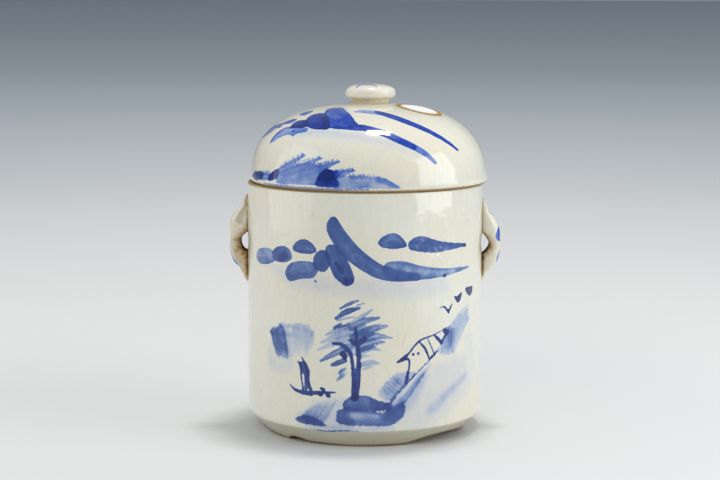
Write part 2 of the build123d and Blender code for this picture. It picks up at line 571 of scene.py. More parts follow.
JAR_MOUNTAINS: list[Mark] = [
    Blot(((-68, 90.8), (-65, 95.3), (-55, 96.9), (-50, 94), (-51.5, 90.2), (-62, 88)), 0.38, pool=0.2),
    Blot(((-51.5, 95.8), (-47, 98.6), (-42, 98.8), (-39, 96.5), (-38.8, 93), (-43, 91), (-50, 91.2)), 0.52),
    Stroke(((-46, 93, 3), (-43, 94.6, 3.4)), 0.6, blur=2),
    Blot(((-38, 98), (-35.6, 101.8), (-31, 103.4), (-26.5, 101.6), (-24.2, 98), (-27, 96.4),
        (-34, 96.4)), 0.5),
    Blot(((-42.7, 86), (-40, 90.4), (-34, 92.4), (-26, 92.2), (-23.6, 88.6), (-26, 84.8), (-33, 83.6),
        (-40, 82)), 0.42),
    Stroke(((-15.6, 112.6, 5), (-15.2, 109.3, 7.8), (-11.5, 103.6, 8.4), (-6, 97.4, 8.4),
        (0.6, 92.2, 7.8), (8, 88, 6.8), (16, 86, 5.2), (26, 85, 3.4)), 0.5, 0.8),
    Stroke(((12.5, 89.4, 8), (18, 88.6, 9.6), (27, 87.2, 7.2), (39, 86.4, 4.6), (50, 86.5, 2.8),
        (61.5, 87, 1.2)), 0.37),
    Blot(((6, 102.8), (9, 105.9), (13.7, 107.2), (17.7, 105.2), (20.6, 101), (18, 99.7), (12, 99.5),
        (7.6, 100.6)), 0.52),
    Stroke(((24, 101, 5.6), (28, 101.3, 7.8), (36, 99.6, 6.4), (45, 98.9, 3.9), (57.5, 98.5, 1.6)), 0.5),
    Blot(((-26, 94), (-24, 97.4), (-20.4, 98.6), (-17.6, 95.8), (-17.6, 91), (-20.6, 87.8),
        (-24.9, 89.4)), 0.58),
    Stroke(((-16.6, 98.4, 6.4), (-14, 94, 8.6), (-11.6, 89, 9.6), (-8.8, 85, 7.2)), 0.54, 1),
    Stroke(((-14.5, 92.5, 1), (-12, 89.5, 1.8), (-11.2, 88.2, 1.2)), 0.62),
    Stroke(((-9.5, 84.6, 1.6), (-7.5, 83.6, 3), (-9, 82, 1.6)), 0.66),
    Stroke(((57, 98.4, 1.8), (58.2, 98.3, 1.8)), 0.85),
    Stroke(((42, 84.3, 1.1), (42.6, 84.3, 1.1)), 0.7),
    Stroke(((-25, 83.2, 1), (-24.6, 82.8, 0.9)), 0.5),
]
JAR_TREE: list[Mark] = [
    Blot(((-10, 60), (-3, 63), (3, 60), (4, 52), (-2, 47), (-9, 49), (-14, 54)), 0.2, 2, 0.7),
    Stroke(((-12.2, 70.2, 1), (-8, 72.6, 1.8), (-3.4, 74.4, 1)), 0.4, dry=0.8),
    Stroke(((-14.4, 65.3, 1.4), (-9, 68.8, 3), (-2.7, 70.7, 1.4)), 0.48, dry=0.8),
    Stroke(((-3.7, 72.2, 0.9), (-0.5, 73, 0.7)), 0.34),
    Stroke(((-13.7, 64.2, 1), (-9, 65.6, 1.1), (-5.2, 66.3, 0.7)), 0.32),
    Stroke(((-15.2, 60.8, 1.6), (-11.8, 62.8, 1.2)), 0.42),
    Stroke(((-12.4, 61, 1.2), (-8, 62.9, 1)), 0.34),
    Stroke(((-9.6, 61, 2.4), (-3, 65.4, 2.6), (3.5, 70, 0.9)), 0.27, dry=0.8),
    Stroke(((-6.7, 61.1, 3), (0, 64.4, 3.2), (6.8, 65.9, 1.4)), 0.36, dry=0.8),
    Stroke(((-3.7, 58.2, 3.4), (4, 60.8, 3.6), (10.9, 61.8, 1.4)), 0.32, dry=0.8),
    Stroke(((-3.7, 55.6, 3.4), (5, 57, 3.4), (13.2, 55.8, 1)), 0.29, dry=0.8),
    Stroke(((-2.2, 52.3, 3), (4, 54, 3), (9.5, 53.7, 1)), 0.26, dry=0.8),
    Stroke(((-3, 50, 2.6), (2.6, 51, 2.6), (7.4, 50, 1)), 0.28, dry=0.8),
    Stroke(((-2.2, 46.6, 1.6), (2.2, 47.2, 1)), 0.22),
    Stroke(((-19.4, 56.9, 1.2), (-14.5, 59.6, 2.4), (-9.6, 61.4, 2.2)), 0.28, dry=0.8),
    Stroke(((-21.8, 53, 1.2), (-14.5, 56.6, 3), (-6.6, 59.6, 3)), 0.25, dry=0.8),
    Stroke(((-24.1, 49.1, 1), (-16, 52.6, 3), (-8.1, 55.9, 3)), 0.22, dry=0.8),
    Stroke(((-22.2, 43.9, 1.4), (-15, 48, 3.2), (-6.6, 52.2, 3)), 0.38, 0.8, dry=0.8),
    Stroke(((-16.3, 42.2, 1.6), (-13, 43.6, 2.8), (-9.6, 44.7, 2)), 0.46, dry=0.8),
    Hatch(((-12.6, 39.4), (-13.8, 34.2)), ((-8.4, 42.4), (-8.2, 37.4)), 5, 1.1, 0.28, 0.7, 0.3, 16),
    Stroke(((-1.9, 42.8, 2.6), (3, 44, 2.8), (6.9, 43.3, 1)), 0.24, dry=0.8),
    Stroke(((-0.8, 40.6, 1.4), (3.6, 41.9, 1)), 0.2),
    Hatch(((-8, 57), (-3, 49)), ((7, 64), (9, 53)), 9, 0.7, 0.42, 0.5, 0.6, 17),
    Stroke(((-4.6, 61, 0.5), (-4.2, 56, 0.8), (-3.4, 50, 1.4), (-3.2, 44, 2), (-3.5, 36, 2.8),
        (-4.6, 27, 3)), 0.74),
    Stroke(((-15.6, 53, 0.6), (-11.8, 52.6, 1.1), (-8.5, 50, 1.5), (-6.7, 46.3, 1.7), (-5.9, 41, 1.8),
        (-5.6, 33.7, 2), (-5.5, 26.6, 2.6)), 0.74),
    Stroke(((-6.8, 54.6, 0.8), (-3.8, 53.2, 1.9), (-0.4, 55.6, 2)), 0.76),
    Stroke(((-10.7, 47.6, 3), (-9.8, 46.8, 2.6)), 0.88),
    Stroke(((-5.2, 28, 1.6), (-5, 26.2, 2.8)), 0.7),
]
JAR_CLOUD: list[Mark] = [
    Hatch(((-53, 54.6), (-46, 58.8), (-30, 60.2), (-26, 56)), ((-48.6, 44.4), (-42, 43.6), (-31, 46.4),
        (-28, 50)), 15, 3.4, 0.18, 0.5, 0.5, 21, 2.2),
    Hatch(((-53, 55), (-43, 58)), ((-48.6, 43.8), (-40, 43.6)), 9, 1.4, 0.34, 0.6, 0.4, 22, 1.8),
    Hatch(((-53, 54), (-44, 59)), ((-54.8, 55.2), (-45.8, 60.2)), 8, 1.2, 0.36, 1, 0.25, 23, 1.3),
    Hatch(((-43, 59.4), (-25, 58.6)), ((-41, 61), (-26, 56)), 7, 1.4, 0.22, 0.8, 0.4, 24, 1.6),
    Stroke(((-52, 54.2, 2), (-40, 55.4, 1.6), (-27, 54, 1)), 0.28, 0.5, 1.6),
]
JAR_BOAT: list[Mark] = [
    Stroke(((-39.9, 30.4, 0.7), (-36.8, 28.2, 1.6), (-30.5, 27.2, 2.2), (-24, 27.9, 2), (-18, 28.4, 1.3),
        (-14.4, 28.7, 0.7)), 0.68),
    Stroke(((-34.8, 42.4, 0.9), (-33.3, 40.8, 1.6), (-32.9, 35, 1), (-31.8, 28.4, 1.1)), 0.7),
    Stroke(((-32.6, 44.8, 0.7), (-30.6, 41.8, 1.6), (-28.9, 38.4, 1.7), (-29.1, 33.8, 1.8),
        (-27.6, 29.2, 1.8)), 0.74),
    Blot(((-34.4, 42), (-31, 42.4), (-29, 38), (-29, 32), (-29.6, 28.6), (-31, 29), (-31.4, 36),
        (-33, 38)), 0.6),
    Stroke(((-27.6, 26.6, 1.1), (-27.2, 26.2, 1)), 0.75),
    Stroke(((-22.8, 27.4, 2), (-22, 27, 1.9)), 0.88),
    Stroke(((-18.6, 27, 2), (-17.8, 26.8, 1.9)), 0.8),
    Stroke(((-21.8, 30.2, 1.6), (-20.6, 29.6, 1.8)), 0.72),
]
JAR_HOUSE: list[Mark] = [
    Blot(((18.6, 38.6), (25.6, 38.2), (22, 34.4), (15.6, 28), (11.8, 24.6), (6.8, 27), (8.2, 31.4),
        (13.4, 36.4)), 0.2, 2.5, 0.8),
    Hatch(((10, 25.4), (21, 35)), ((6.4, 30), (15.6, 39)), 9, 2.2, 0.22, 0.9, 0.4, 31, 1.6),
    Blot(((44.7, 58.3), (53, 65), (60, 67.4), (57, 63.6), (64, 61), (58.2, 56), (51.8, 48), (49.3, 44.8),
        (42.8, 44.8), (38.4, 46.8), (39.8, 50.8), (45, 54.4)), 0.17, 2.6, 0.8),
    Hatch(((44, 57), (62, 67)), ((43, 45.4), (63, 59.6)), 14, 1.7, 0.2, 0.8, 0.6, 32, 2.2),
    Hatch(((41, 54), (52, 58)), ((40, 46.6), (50, 46)), 7, 1.6, 0.27, 0.8, 0.5, 33, 1.8),
    Stroke(((37.2, 46.4, 1), (33.2, 43.2, 0.8), (28.3, 39.3, 0.8), (22, 33.8, 0.9), (16.2, 28.3, 1),
        (12.4, 23.7, 1.2)), 0.4, 1, 1.4),
    Stroke(((34, 41, 2), (26.6, 34.4, 3), (19, 27.4, 3.6), (12, 21, 4)), 0.13, 1.2, 3),
    Stroke(((31.5, 38, 0.8), (27.3, 33.6, 1.5), (23.2, 28.7, 2.2), (20, 25.2, 2.6), (15.3, 21.8, 3),
        (9.6, 17.7, 3)), 0.19, 1.5, 2.8),
    Stroke(((15.9, 43.6, 1), (18.6, 45, 2), (22.1, 48, 1.1), (27.3, 53.4, 1.1), (36, 56, 0.9),
        (44.7, 58.8, 0.7)), 0.74),
    Stroke(((18.6, 44.8, 1.2), (21.6, 44.8, 1.3), (22.2, 41.8, 1.1), (21.2, 37, 0.8),
        (20.6, 33.4, 1.2)), 0.72),
    Stroke(((27.3, 53.1, 1), (30.6, 49.4, 1.3), (33.4, 44, 1)), 0.7),
    Stroke(((32, 54.3, 0.8), (34, 50.6, 0.8), (36, 46.8, 0.8)), 0.6),
    Stroke(((35.5, 56.1, 1), (38, 53.8, 1.8), (40.4, 51.6, 1.6)), 0.76),
    Stroke(((33.4, 44, 1), (36.2, 46, 1.2), (37.6, 47.2, 1)), 0.68),
    Stroke(((24.1, 47.1, 1.3), (24.4, 46.9, 1.2)), 0.78),
    Stroke(((26.8, 47.4, 1.3), (27.1, 47.1, 1.2)), 0.78),
    Stroke(((42.6, 57.2, 2.6), (43.8, 56.4, 2.8)), 0.86),
    Stroke(((43.4, 55.6, 1.6), (42, 53.6, 1), (40.4, 51.5, 1.8)), 0.78),
]
JAR_BIRDS: list[Mark] = [
    Stroke(((38.2, 68.6, 0.5), (41.8, 69.2, 1), (44.4, 67, 1.4), (45.2, 65.8, 1)), 0.82),
    Stroke(((45, 66.4, 1.3), (46.4, 68, 1), (47.8, 69.9, 0.6)), 0.82),
    Blot(((49, 73.8), (51.8, 73.4), (55.4, 75), (55, 72.2), (52.6, 70), (50.6, 71.6)), 0.88),
    Blot(((58.8, 76.4), (62.6, 76.8), (66.8, 76.4), (66.2, 73.4), (63.7, 72), (60.6, 73.6)), 0.98),
]
JAR_GROUND: list[Mark] = [
    Hatch(((-33, 13.4), (-20, 14)), ((-28, 21), (-13, 24.4)), 8, 3, 0.14, 0.6, 0.6, 41, 3),
    Blot(((-14, 16.5), (-13.3, 19.6), (-9, 20.8), (2, 20), (9.6, 19), (15.3, 22), (19.7, 23),
        (19.2, 16.7), (13.4, 12.6), (6.8, 12.2), (-11.9, 13)), 0.36, 3, pool=0.25),
    Stroke(((-12.8, 14.9, 1.2), (-4.4, 14.5, 1.4), (7.7, 13.9, 2), (13, 14, 2)), 0.2, 1, 2.6),
    Blot(((-10.9, 22.3), (-9, 25.7), (-4.4, 27.7), (2, 27.2), (5.8, 25.2), (11.4, 23.5), (11.4, 21.7),
        (7.7, 20), (0.3, 19.6), (-9, 19.8)), 0.45, 2.4),
    Stroke(((4.4, 23.2, 3.4), (8, 22, 3.8), (11.6, 21.4, 2.6)), 0.45, 1, 2.6),
    Hatch(((4, 20.4), (11.6, 19.8)), ((5.4, 24.6), (13, 22.8)), 5, 1.3, 0.44, 0.9, 0.4, 42, 2),
    Blot(((-36.7, 13.4), (-33.2, 15.2), (-26.7, 15.2), (-22, 13.4), (-19.6, 11.6), (-26.7, 11.5),
        (-33, 11.7)), 0.48, 2),
    Stroke(((-27.5, 9.2, 0.6), (-19.4, 8.9, 1), (-9.5, 9.6, 0.9), (-2.9, 9.6, 0.5)), 0.5),
]
JAR_MARKS: list[Mark] = [
    *JAR_WASHES, *JAR_MOUNTAINS, *JAR_TREE, *JAR_CLOUD, *JAR_BOAT, *JAR_GROUND, *JAR_HOUSE, *JAR_BIRDS,
]

# Across is degrees round the lid from the front, up is millimetres up the dome from its rim.
LID_MARKS: list[Mark] = [
    Stroke(((-46, 30, 4), (-24, 31, 5), (-4, 28.6, 5), (14, 23.6, 5),
        (25, 19, 4)), 0.17, 0.5, 3.4, touch=Touch.SOFT),
    Blot(((-63.3, 22.5), (-63.4, 25.8), (-62.3, 29.5), (-59, 32.4), (-53.3, 33.4), (-45.7, 33.6),
        (-39.5, 33.4), (-39, 31), (-44.8, 29.2), (-46.4, 27.2), (-51.2, 28.2), (-57.5, 25.4),
        (-60, 23)), 0.34, 1.4, 0.6, 0.3),
    Stroke(((-63.2, 22.4, 1.4), (-63.1, 26.5, 2), (-61.7, 29.9, 1.8), (-58.5, 32.5, 1.4),
        (-52, 33.4, 1)), 0.5, 0.7),
    Stroke(((-49.4, 30.8, 1.2), (-48.8, 30.6, 1.2)), 0.6),
    Blot(((-54.6, 32.8), (-57, 35.8), (-55.8, 38.9), (-48.9, 40), (-43, 37), (-41.4, 34.4), (-45.7, 33.6),
        (-49.3, 33.2)), 1.0, pool=0.2),
    Blot(((-48.5, 39.7), (-51.4, 45), (-48, 48), (-41, 48.5), (-32.6, 44), (-28, 39.4), (-25, 34),
        (-30.3, 33), (-37, 33.4), (-42.7, 35.4)), 0.86, pool=0.2),
    Blot(((-32, 38), (-41, 48), (-50, 57), (-36, 59.5), (-18, 50), (-9, 40), (-3, 33.4), (-14, 33.6),
        (-25, 34.6)), 0.7, pool=0.2),
    Stroke(((-15, 34.4, 1.4), (-10.7, 35, 2.8), (-5.5, 35.6, 4.6), (0.3, 34.2, 4.4), (5.5, 32.3, 4.4),
        (10.4, 30, 4.4), (16.4, 26.4, 4.2), (22.4, 22.8, 3.8)), 0.7, 0.9),
    Stroke(((23.4, 22.2, 3.6), (25.6, 20.8, 3.6), (29.3, 17.8, 2.9), (33, 13.8, 1.9)), 0.42, 1.2),
    Stroke(((-12, 52.6, 3), (-5.4, 53.6, 6), (3.5, 52.2, 6.2), (10.4, 50, 5)), 0.34, 1.2),
    Stroke(((7.6, 52.2, 2.6), (13, 48.9, 4.8), (20, 44.4, 5), (27, 39.4, 4.6), (33, 34.8, 4),
        (38.6, 30.2, 3.4), (43.7, 25.7, 2.7), (50, 19.5, 1.7)), 0.66, 1.15),
    Blot(((-84.7, 22.4), (-87.2, 26), (-89, 30), (-79.2, 33.2), (-72, 35.4), (-68.7, 38), (-64.4, 40),
        (-59.8, 40), (-59, 37.3), (-62.3, 35.6), (-67.9, 34.4), (-67, 32.1), (-72.4, 30.5),
        (-74.2, 27)), 0.62, pool=0.25),
    Blot(((-70.5, 44.8), (-71.5, 46.8), (-69.3, 49.7), (-62.7, 51.2), (-58.8, 48), (-58.8, 45.3),
        (-60.6, 44.2)), 0.62),
    Blot(((-48.5, 2.8), (-48.4, 7), (-44, 9.5), (-37.8, 12.4), (-32.7, 13.3), (-28.7, 13.2), (-23.7, 12),
        (-19.2, 11), (-17.5, 3.3), (-25.2, 3), (-37.6, 2.8)), 0.38, 1.6, 0.6),
    Stroke(((-49, 7.8, 3.6), (-42, 12, 2.8), (-33, 17.6, 1)), 0.32, dry=0.7),
    Hatch(((-47, 9.6), (-40, 13.4), (-33, 17.4)), ((-48.6, 11.6), (-41.4, 16),
        (-33.8, 19)), 12, 0.9, 0.4, 1, 0.15, 51),
    Stroke(((-42.8, 7.5, 3.8), (-33, 12, 3), (-23.4, 16.6, 1)), 0.3, dry=0.7),
    Hatch(((-40, 10.2), (-32, 13.6), (-23.5, 16.6)), ((-41.6, 12.4), (-33.2, 15.8),
        (-24.4, 18.2)), 13, 0.9, 0.4, 1, 0.15, 52),
    Stroke(((-33, 8.1, 4), (-24, 11, 3.2), (-14.4, 15, 1)), 0.34, 1.1, dry=0.7),
    Hatch(((-30, 11.2), (-22, 13), (-14.6, 15)), ((-31.4, 13.2), (-23.2, 15),
        (-15.2, 16.5)), 12, 0.9, 0.44, 1, 0.15, 53),
    Stroke(((-22.6, 6.1, 4), (-14, 8.6, 3), (-7, 10.8, 1)), 0.42, 0.8, dry=0.7),
    Hatch(((-20, 8.4), (-13, 10), (-7, 11)), ((-21, 10.2), (-14, 11.6),
        (-7.6, 12.4)), 10, 0.9, 0.46, 1, 0.15, 54),
    Stroke(((-16, 5, 6), (-4, 5, 6), (4.5, 4.4, 5), (13.8, 2.4, 1.6)), 0.34, 0.8, 1.6, 0.7),
    Hatch(((-9, 7.6), (2, 7.2), (9, 5.4)), ((-10.2, 9.4), (0.8, 9), (8, 7)), 12, 1, 0.3, 1, 0.15, 55),
    Stroke(((4, 6.4, 2), (9, 4.8, 2), (13, 2.8, 1)), 0.38, 1, 1.4),
    Blot(((-25.6, 3), (-24.8, 5.4), (-23.4, 8.6), (-21, 10.6), (-18, 10.8), (-17, 8), (-15, 5.4),
        (-14.6, 3), (-20, 2.2)), 0.78, 1.2),
    Hatch(((-24.5, 6), (-16, 7.4)), ((-21.4, 10.6), (-12.4, 10)), 6, 1.7, 0.62, 0.8, 0.4, 57, 1.3),
    Blot(((-76.4, 3.4), (-73.4, 5.7), (-67.9, 6.8), (-63.4, 7), (-61, 5.9), (-62.6, 3.4),
        (-69.6, 2.2)), 0.9, 1.2),
    Blot(((-63.8, 6.6), (-57.6, 6.6), (-54, 6.9), (-53.6, 4.2), (-62.8, 3)), 0.42, 1.8),
    Blot(((-55.4, 3.7), (-54.2, 6.7), (-50.8, 9.2), (-48.6, 9.4), (-48, 7.8), (-49.2, 5),
        (-52.8, 3.5)), 0.9, 1.2),
    Hatch(((-75.3, 4.5), (-55.2, 6.6)), ((-73.4, 7), (-54.2, 9)), 14, 0.8, 0.5, 1, 0.15, 56),
    Stroke(((-60, 1.6, 0.7), (-41, 1.3, 1.2), (-19.6, 1.2, 1.2), (0, 1.4, 0.5)), 0.42, 1, 1.5),
]
# Across and up are both millimetres, seen from above, from the middle of the knob; up runs to the back.
KNOB_MARKS: list[Mark] = [
    Stroke(((-7.2, -8.6, 0.7), (-6, -6.6, 1.4), (-4.4, -4.8, 2.2), (-1.8, -5.2, 2.2), (1, -6.8, 1.6),
        (3.4, -9.4, 0.7)), 0.6, 0.8),
]
# Across is the distance from the jar's axis, up is millimetres above the table, on a lug's front face.
LEFT_LUG_MARKS: list[Mark] = [
    Stroke(((69.2, 104.8, 1.2), (69.4, 102, 3.4), (69.2, 99.4, 1.4)), 0.62),
    Stroke(((69, 94.2, 1.4), (68.8, 90.6, 3), (67.9, 87.2, 3.6), (66.4, 85, 3.4), (65.2, 83.8, 2)), 0.5),
]
RIGHT_LUG_MARKS: list[Mark] = [
    Blot(((68.9, 104.8), (67.2, 101.7), (66.7, 98.8), (68.3, 96.4), (69.6, 97.5), (69.6, 103)), 0.66),
    Stroke(((69, 91.6, 1.6), (68.5, 88.9, 3.8), (67.6, 86.4, 1.6)), 0.55),
]


# ---- finishes -----------------------------------------------------------------------------------
@dataclass(frozen=True)
class GlazeFinish:
    """Colours, linear red, green and blue, of a glazed piece."""

    cool: Colour = (0.78, 0.77, 0.67)
    warm: Colour = (0.79, 0.72, 0.57)
    clay: Colour = (0.36, 0.26, 0.13)
    mottle: float = 0.65
    mid_cobalt: Colour = (0.052, 0.110, 0.32)
    deep_cobalt: Colour = (0.018, 0.052, 0.25)
    dark_cobalt: Colour = (0.004, 0.014, 0.12)


def rgba(colour: Colour) -> tuple[float, float, float, float]:
    """Add full opacity to a colour."""
    return (*colour, 1.0)


def glaze_material(name: str, finish: GlazeFinish) -> Material:
    """Clear glaze over cobalt brushwork on off-white clay, bare and stained where its layers say so.

    Args:
        name: name of the material.
        finish: its colours.

    Returns:
        The material.
    """
    material = bpy.data.materials.new(name)
    material.use_nodes = True
    nodes = material.node_tree.nodes
    links = material.node_tree.links
    nodes.clear()

    # body colour: warm and cool areas, with fine runs down the wall
    place = nodes.new("ShaderNodeTexCoord")
    place.label = "place on the piece"
    millimetres = nodes.new("ShaderNodeMapping")
    millimetres.label = "metres to millimetres"
    millimetres.inputs["Scale"].default_value = (1000, 1000, 1000)
    links.new(place.outputs["Object"], millimetres.inputs["Vector"])

    cloud = nodes.new("ShaderNodeTexNoise")
    cloud.label = "broad warm and cool areas"
    cloud.inputs["Scale"].default_value = 0.022
    cloud.inputs["Detail"].default_value = 3.0
    links.new(millimetres.outputs["Vector"], cloud.inputs["Vector"])
    cloud_range = nodes.new("ShaderNodeMapRange")
    cloud_range.label = "spread of warm areas"
    cloud_range.inputs["From Min"].default_value = 0.36
    cloud_range.inputs["From Max"].default_value = 0.66
    cloud_range.inputs["To Max"].default_value = finish.mottle
    links.new(cloud.outputs["Fac"], cloud_range.inputs["Value"])
    body = nodes.new("ShaderNodeMix")
    body.label = "cool to warm body"
    body.data_type = "RGBA"
    body.inputs["A"].default_value = rgba(finish.cool)
    body.inputs["B"].default_value = rgba(finish.warm)
    links.new(cloud_range.outputs["Result"], body.inputs["Factor"])
    run_place = nodes.new("ShaderNodeMapping")
    run_place.label = "stretch down the wall"
    run_place.inputs["Scale"].default_value = (1.0, 1.0, 0.12)
    links.new(millimetres.outputs["Vector"], run_place.inputs["Vector"])
    runs = nodes.new("ShaderNodeTexNoise")
    runs.label = "fine runs of the glaze"
    runs.inputs["Scale"].default_value = 0.55
    runs.inputs["Detail"].default_value = 4.0
    links.new(run_place.outputs["Vector"], runs.inputs["Vector"])
    run_range = nodes.new("ShaderNodeMapRange")
    run_range.label = "strength of the runs"
    run_range.inputs["From Min"].default_value = 0.3
    run_range.inputs["From Max"].default_value = 0.7
    run_range.inputs["To Min"].default_value = 0.975
    run_range.inputs["To Max"].default_value = 1.02
    links.new(runs.outputs["Fac"], run_range.inputs["Value"])
    toned = nodes.new("ShaderNodeMix")
    toned.label = "body with runs"
    toned.data_type = "RGBA"
    toned.blend_type = "MULTIPLY"
    toned.inputs["Factor"].default_value = 1.0
    links.new(body.outputs["Result"], toned.inputs["A"])
    links.new(run_range.outputs["Result"], toned.inputs["B"])

    # iron specks
    speck_cells = nodes.new("ShaderNodeTexVoronoi")
    speck_cells.label = "one iron speck to a cell"
    speck_cells.inputs["Scale"].default_value = 0.085
    links.new(millimetres.outputs["Vector"], speck_cells.inputs["Vector"])
    speck_pick = nodes.new("ShaderNodeSeparateColor")
    speck_pick.label = "a random number for each cell"
    links.new(speck_cells.outputs["Color"], speck_pick.inputs["Color"])
    speck_size = nodes.new("ShaderNodeMapRange")
    speck_size.label = "most cells have no speck"
    speck_size.inputs["From Min"].default_value = 0.55
    speck_size.inputs["From Max"].default_value = 1.0
    speck_size.inputs["To Max"].default_value = 0.042
    links.new(speck_pick.outputs["Red"], speck_size.inputs["Value"])
    speck_gap = nodes.new("ShaderNodeMath")
    speck_gap.label = "inside the speck"
    speck_gap.operation = "SUBTRACT"
    links.new(speck_size.outputs["Result"], speck_gap.inputs[0])
    links.new(speck_cells.outputs["Distance"], speck_gap.inputs[1])
    speck_mask = nodes.new("ShaderNodeMapRange")
    speck_mask.label = "soft edge of the speck"
    speck_mask.inputs["From Min"].default_value = -0.006
    speck_mask.inputs["From Max"].default_value = 0.014
    speck_mask.inputs["To Max"].default_value = 0.75
    links.new(speck_gap.outputs["Value"], speck_mask.inputs["Value"])
    specked = nodes.new("ShaderNodeMix")
    specked.label = "iron specks"
    specked.data_type = "RGBA"
    specked.inputs["B"].default_value = (0.13, 0.10, 0.055, 1)
    links.new(speck_mask.outputs["Result"], specked.inputs["Factor"])
    links.new(toned.outputs["Result"], specked.inputs["A"])

    # crackle
    crack_cells = nodes.new("ShaderNodeTexVoronoi")
    crack_cells.label = "net of fine cracks"
    crack_cells.feature = "DISTANCE_TO_EDGE"
    crack_cells.inputs["Scale"].default_value = 0.16
    links.new(millimetres.outputs["Vector"], crack_cells.inputs["Vector"])
    crack_mask = nodes.new("ShaderNodeMapRange")
    crack_mask.label = "width and strength of the cracks"
    crack_mask.inputs["From Max"].default_value = 0.018
    crack_mask.inputs["To Min"].default_value = 0.16
    crack_mask.inputs["To Max"].default_value = 0.0
    links.new(crack_cells.outputs["Distance"], crack_mask.inputs["Value"])
    cracked = nodes.new("ShaderNodeMix")
    cracked.label = "crackle"
    cracked.data_type = "RGBA"
    cracked.inputs["B"].default_value = (0.33, 0.27, 0.18, 1)
    links.new(crack_mask.outputs["Result"], cracked.inputs["Factor"])
    links.new(specked.outputs["Result"], cracked.inputs["A"])

    # brushwork: its edge, its streaks and the colour of its cobalt
    ink = nodes.new("ShaderNodeAttribute")
    ink.label = "density of the brushed cobalt"
    ink.attribute_name = Layer.INK.value
    edge = nodes.new("ShaderNodeAttribute")
    edge.label = "millimetres inside the brushed edge"
    edge.attribute_name = Layer.EDGE.value
    wash = nodes.new("ShaderNodeAttribute")
    wash.label = "density of the pale washes"
    wash.attribute_name = Layer.WASH.value
    grain = nodes.new("ShaderNodeAttribute")
    grain.label = "across and along the brush"
    grain.attribute_name = Layer.GRAIN.value
    tremble = nodes.new("ShaderNodeTexNoise")
    tremble.label = "uneven edge of the brush"
    tremble.inputs["Scale"].default_value = 0.7
    tremble.inputs["Detail"].default_value = 1.5
    links.new(millimetres.outputs["Vector"], tremble.inputs["Vector"])
    tremble_range = nodes.new("ShaderNodeMapRange")
    tremble_range.label = "how far the edge strays, mm"
    tremble_range.inputs["From Min"].default_value = 0.25
    tremble_range.inputs["From Max"].default_value = 0.75
    tremble_range.inputs["To Min"].default_value = -0.16
    tremble_range.inputs["To Max"].default_value = 0.16
    links.new(tremble.outputs["Fac"], tremble_range.inputs["Value"])
    shore = nodes.new("ShaderNodeMath")
    shore.label = "edge with its unevenness"
    shore.operation = "ADD"
    links.new(edge.outputs["Fac"], shore.inputs[0])
    links.new(tremble_range.outputs["Result"], shore.inputs[1])
    cover = nodes.new("ShaderNodeMapRange")
    cover.label = "painted or not"
    cover.interpolation_type = "SMOOTHSTEP"
    cover.inputs["From Min"].default_value = -0.24
    cover.inputs["From Max"].default_value = 0.24
    links.new(shore.outputs["Value"], cover.inputs["Value"])
    hair_place = nodes.new("ShaderNodeMapping")
    hair_place.label = "long thin hairs"
    hair_place.inputs["Scale"].default_value = (1.0, 0.09, 1.0)
    links.new(grain.outputs["Vector"], hair_place.inputs["Vector"])
    hairs = nodes.new("ShaderNodeTexNoise")
    hairs.label = "streaks of the brush hairs"
    hairs.inputs["Scale"].default_value = 1.1
    hairs.inputs["Detail"].default_value = 3.0
    links.new(hair_place.outputs["Vector"], hairs.inputs["Vector"])
    puddle = nodes.new("ShaderNodeTexNoise")
    puddle.label = "puddles of pigment"
    puddle.inputs["Scale"].default_value = 0.18
    puddle.inputs["Detail"].default_value = 4.0
    links.new(millimetres.outputs["Vector"], puddle.inputs["Vector"])
    uneven = nodes.new("ShaderNodeMath")
    uneven.label = "streaks and puddles together"
    uneven.operation = "ADD"
    links.new(hairs.outputs["Fac"], uneven.inputs[0])
    links.new(puddle.outputs["Fac"], uneven.inputs[1])
    uneven_range = nodes.new("ShaderNodeMapRange")
    uneven_range.label = "strength of the unevenness"
    uneven_range.inputs["From Min"].default_value = 0.7
    uneven_range.inputs["From Max"].default_value = 1.3
    uneven_range.inputs["To Min"].default_value = 0.76
    uneven_range.inputs["To Max"].default_value = 1.24
    links.new(uneven.outputs["Value"], uneven_range.inputs["Value"])
    brushed = nodes.new("ShaderNodeMath")
    brushed.label = "cobalt inside the edge"
    brushed.operation = "MULTIPLY"
    links.new(ink.outputs["Fac"], brushed.inputs[0])
    links.new(cover.outputs["Result"], brushed.inputs[1])
    both = nodes.new("ShaderNodeMath")
    both.label = "brushwork and wash"
    both.operation = "ADD"
    links.new(brushed.outputs["Value"], both.inputs[0])
    links.new(wash.outputs["Fac"], both.inputs[1])
    density = nodes.new("ShaderNodeMath")
    density.label = "density with unevenness"
    density.operation = "MULTIPLY"
    links.new(both.outputs["Value"], density.inputs[0])
    links.new(uneven_range.outputs["Result"], density.inputs[1])
    cobalt = nodes.new("ShaderNodeValToRGB")
    cobalt.label = "colour of thin to thick cobalt"
    stops = cobalt.color_ramp.elements
    stops[0].position = 0.0
    stops[0].color = (0.42, 0.54, 0.80, 1)
    stops[1].position = 1.0
    stops[1].color = rgba(finish.dark_cobalt)
    light_blue = stops.new(0.25)
    light_blue.color = (0.20, 0.32, 0.61, 1)
    mid_blue = stops.new(0.47)
    mid_blue.color = rgba(finish.mid_cobalt)
    deep_blue = stops.new(0.68)
    deep_blue.color = rgba(finish.deep_cobalt)
    links.new(density.outputs["Value"], cobalt.inputs["Fac"])
    veil = nodes.new("ShaderNodeMapRange")
    veil.label = "how much cobalt hides the clay"
    veil.inputs["From Max"].default_value = 0.38
    links.new(density.outputs["Value"], veil.inputs["Value"])
    painted = nodes.new("ShaderNodeMix")
    painted.label = "cobalt under the glaze"
    painted.data_type = "RGBA"
    links.new(veil.outputs["Result"], painted.inputs["Factor"])
    links.new(cracked.outputs["Result"], painted.inputs["A"])
